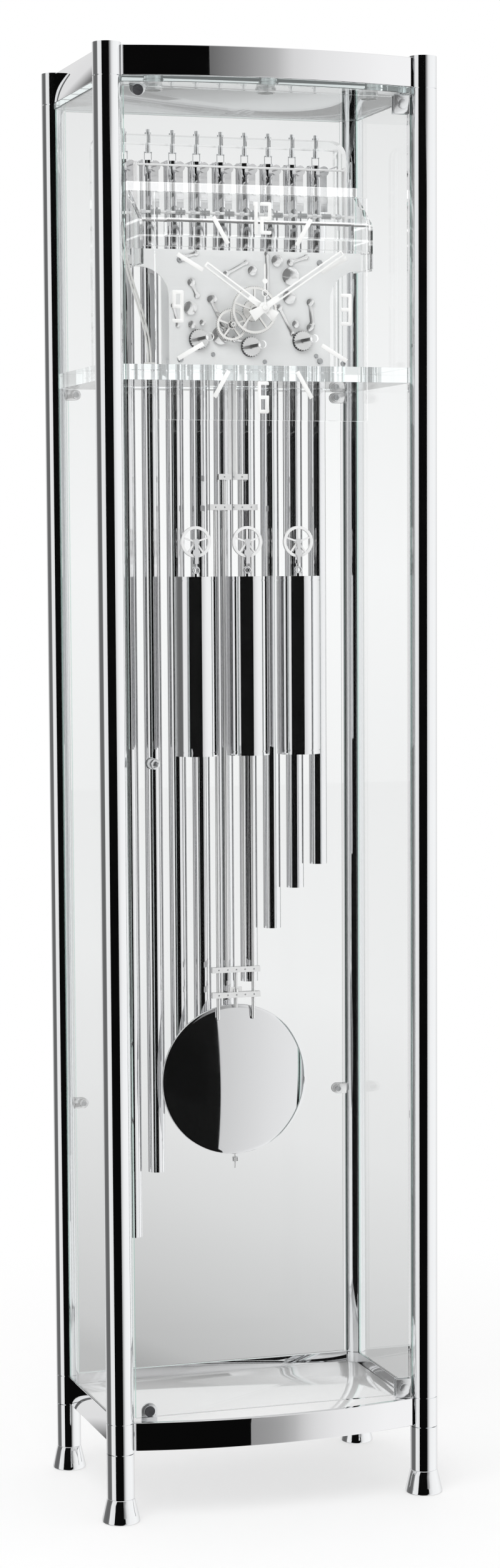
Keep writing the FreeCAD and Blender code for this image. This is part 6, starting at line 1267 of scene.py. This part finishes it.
@dataclass(frozen=True)
class Studio:
    """A white room with a dark area behind the camera, a pale floor and one soft lamp.

    Directions round the clock are in degrees from the front, and the rise of a direction is in degrees too.
    """

    dark: float = 0.003
    dark_left: float = -56.0
    dark_right: float = 13.4
    edge_slope: float = 3.0
    edge_drop: float = 3.3
    edge_lift: float = 9.3
    low_rises: tuple[float, float] = (-9.0, -15.0)
    high_rises: tuple[float, float] = (6.8, 7.8)
    ceiling_rises: tuple[float, float] = (28.0, 42.0)
    ceiling: float = 0.85
    fill: float = 0.9
    pane: float = 0.78
    pane_depth: float = 3.5
    floor_size: float = 14.0
    floor_sink: float = 0.0005
    floor_grey: float = 0.92
    floor_roughness: float = 0.7
    floor_sheen: float = 0.1
    floor_reach: float = 3.0
    floor_skew: float = 0.25
    shadow_rings: tuple[float, float] = (0.4, 1.6)
    shadow_share: float = 0.5
    lamp_size: float = 3.0
    lamp_power: float = 70.0
    lamp_place: Point = (-1.6, -2.2, 4.2)
    lamp_target: Point = (0.0, 0.0, 1.0)

    def build(self) -> None:
        """Create world, floor and lamp."""
        scene = bpy.context.scene
        scene.view_settings.view_transform = "Standard"
        self.make_world(scene)
        self.make_floor()
        self.make_lamp()

    @staticmethod
    def wall(w: Wiring, place: Socket, front: Stops) -> Socket:
        """Return the wall's grey round the clock, with the stops of its front between those of its sides."""
        return w.ramp(place, [((turn + 180.0) / 360.0, grey) for turn, grey in LEFT_WALL + front + RIGHT_WALL])

    def make_world(self, scene: bpy.types.Scene) -> None:
        """Build the room as seen by the camera, by polished metal, through glass and by matt surfaces.

        Args:
            scene: the scene that gets the world.
        """
        world = bpy.data.worlds.new("studio")
        world.use_nodes = True
        world.node_tree.nodes.clear()
        scene.world = world
        w = Wiring(world.node_tree)
        way = w.split(w.coordinates()["Generated"])
        round_clock = w.math("ARCTAN2", way["X"], w.times(way["Y"], -1.0))
        rise = w.math("ARCSINE", way["Z"])
        place = w.math("ADD", w.math("DIVIDE", round_clock, math.tau), 0.5)
        height = w.math("ADD", w.math("DIVIDE", rise, math.pi), 0.5)
        rays = w.node("ShaderNodeLightPath").outputs
        lift = w.span(rise, *map(math.radians, self.high_rises))
        under = w.span(rise, *map(math.radians, self.low_rises))
        drop = w.times(under, w.math("LESS_THAN", rays["Transmission Depth"], ANY_DEPTH))
        low, high, lowest = (self.wall(w, place, front) for front in (LOW_WALL, HIGH_WALL, LOWEST_WALL))
        room = w.blend(drop, w.blend(lift, low, high), lowest)
        slope = w.math("SUBTRACT", self.dark_right, w.times(rise, self.edge_slope))
        low_edge = w.math("SUBTRACT", slope, w.times(drop, self.edge_drop))
        edge = w.math("SUBTRACT", low_edge, w.times(lift, self.edge_lift))
        angle = w.times(round_clock, math.degrees(1.0))
        inside = w.times(w.math("GREATER_THAN", angle, self.dark_left), w.math("LESS_THAN", angle, edge))
        room = w.blend(inside, room, colour((self.dark,) * 3))
        overhead = w.span(rise, *map(math.radians, self.ceiling_rises))
        shiny = w.blend(overhead, room, colour((self.ceiling,) * 3))
        seen = w.blend(rays["Is Transmission Ray"], WHITE, w.ramp(height, WALL_THROUGH_GLASS))
        seen = w.blend(w.math("GREATER_THAN", rays["Glossy Depth"], ANY_DEPTH), seen, shiny)
        seen = w.blend(rays["Is Diffuse Ray"], seen, colour((self.fill,) * 3))
        back = w.node("ShaderNodeBackground", {"Color": seen, "Strength": 1.0})
        w.node("ShaderNodeOutputWorld", {"Surface": back.outputs[0]})

    def make_floor(self) -> None:
        """Lay a pale floor that keeps the clock's soft shadow."""
        form = bmesh.new()
        bmesh.ops.create_grid(form, x_segments=1, y_segments=1, size=self.floor_size)
        mesh = mesh_from(form, "studio_floor")
        floor = bpy.data.objects.new("studio_floor", mesh)
        floor.location.z = -self.floor_sink
        bpy.context.scene.collection.objects.link(floor)
        material, w, shader = new_material("pale_floor")
        shader.inputs["Base Color"].default_value = colour((self.floor_grey,) * 3)
        shader.inputs["Roughness"].default_value = self.floor_roughness
        shader.inputs["Specular IOR Level"].default_value = self.floor_sheen
        place = w.coordinates()["Object"]
        reach = w.node("ShaderNodeVectorMath", {0: place}, operation="LENGTH").outputs["Value"]
        across = w.split(place)
        depth = w.math("ABSOLUTE", w.math("ADD", across["X"], w.times(across["Y"], self.floor_skew)))
        rays = w.node("ShaderNodeLightPath").outputs
        shade = w.ramp(w.math("DIVIDE", depth, self.floor_reach), FLOOR_THROUGH_GLASS)
        through = w.blend(w.math("GREATER_THAN", rays["Transmission Depth"], self.pane_depth),
                          colour((self.pane,) * 3), shade)
        bright = w.node("ShaderNodeEmission", {"Color": w.blend(rays["Is Transmission Ray"], WHITE, through),
                                               "Strength": 1.0})
        away = w.span(reach, *self.shadow_rings, low=self.shadow_share)
        direct = w.math("MAXIMUM", w.times(rays["Is Camera Ray"], away), rays["Is Transmission Ray"])
        mirrored = w.math("GREATER_THAN", rays["Glossy Depth"], ANY_DEPTH)
        w.surface(w.mix_shader(mirrored, w.mix_shader(direct, shader, bright), w.node("ShaderNodeBsdfTransparent")))
        mesh.materials.append(material)

    def make_lamp(self) -> None:
        """Hang one large soft lamp above and to the left."""
        data = bpy.data.lights.new("soft_lamp", "AREA")
        data.shape = "DISK"
        data.size = self.lamp_size
        data.energy = self.lamp_power
        lamp = bpy.data.objects.new("soft_lamp", data)
        lamp.location = self.lamp_place
        lamp.rotation_euler = (Vector(self.lamp_target) - lamp.location).to_track_quat("-Z", "Y").to_euler()
        lamp.visible_glossy = False
        lamp.visible_transmission = False
        bpy.context.scene.collection.objects.link(lamp)


SOFTENED = (
    SoftenedPart("feet", "chrome_posts", 0.0012, 3),
    SoftenedPart("straight_rails", "chrome_rails", 0.0007),
    SoftenedPart("top_panel", "glass_clear", 0.0006, smooth=False),
    SoftenedPart("wall_glass", "glass_clear", 0.0006, smooth=False),
    SoftenedPart("door_glass", "glass_clear", 0.0006, smooth=False),
    SoftenedPart("floor_plate", "steel_plate", 0.0005),
    SoftenedPart("post_clamps", "steel_parts", 0.0004),
    SoftenedPart("door_seats", "steel_parts", 0.0004),
    SoftenedPart("door_hinges", "steel_parts", 0.0004),
    SoftenedPart("door_knob", "steel_parts", 0.0006, 3),
    SoftenedPart("seat_shelf", "acrylic_clear", 0.0009, smooth=False),
    SoftenedPart("tube_rack", "acrylic_clear", 0.0007, smooth=False, ease=0.0001),
    SoftenedPart("front_plate", "steel_plate", 0.0004),
    SoftenedPart("back_plate", "steel_plate", 0.0004),
    SoftenedPart("hood", "acrylic_clear", 0.0006, smooth=False),
    SoftenedPart("dial_plate", "acrylic_clear", 0.0006, smooth=False, ease=0.0001),
    SoftenedPart("hour_hand", "hand_white", 0.0002, 1),
    SoftenedPart("minute_hand", "hand_white", 0.0002, 1),
    SoftenedPart("dial_markers", "white_paint", 0.0002, 1),
    SoftenedPart("hammer_rail", "steel_parts", 0.0003, 1),
    SoftenedPart("front_levers", "steel_parts", 0.0004, 1),
)


def main() -> None:
    """Build the scene in order."""
    logging.basicConfig(level=logging.INFO, format="%(name)s: %(message)s")
    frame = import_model()
    PhotoCamera().build()
    Studio().build()
    shop = Workshop(frame)
    LampLead().build(shop)
    shop.dress_nodes()
    for part in (*SOFTENED, BowedRails(), PolishedBob()):
        part.build(shop)
    fittings = Fittings(shop)
    for row in FITTINGS:
        row.build(fittings)
    bpy.context.view_layer.update()


if __name__ == "__main__":
    main()
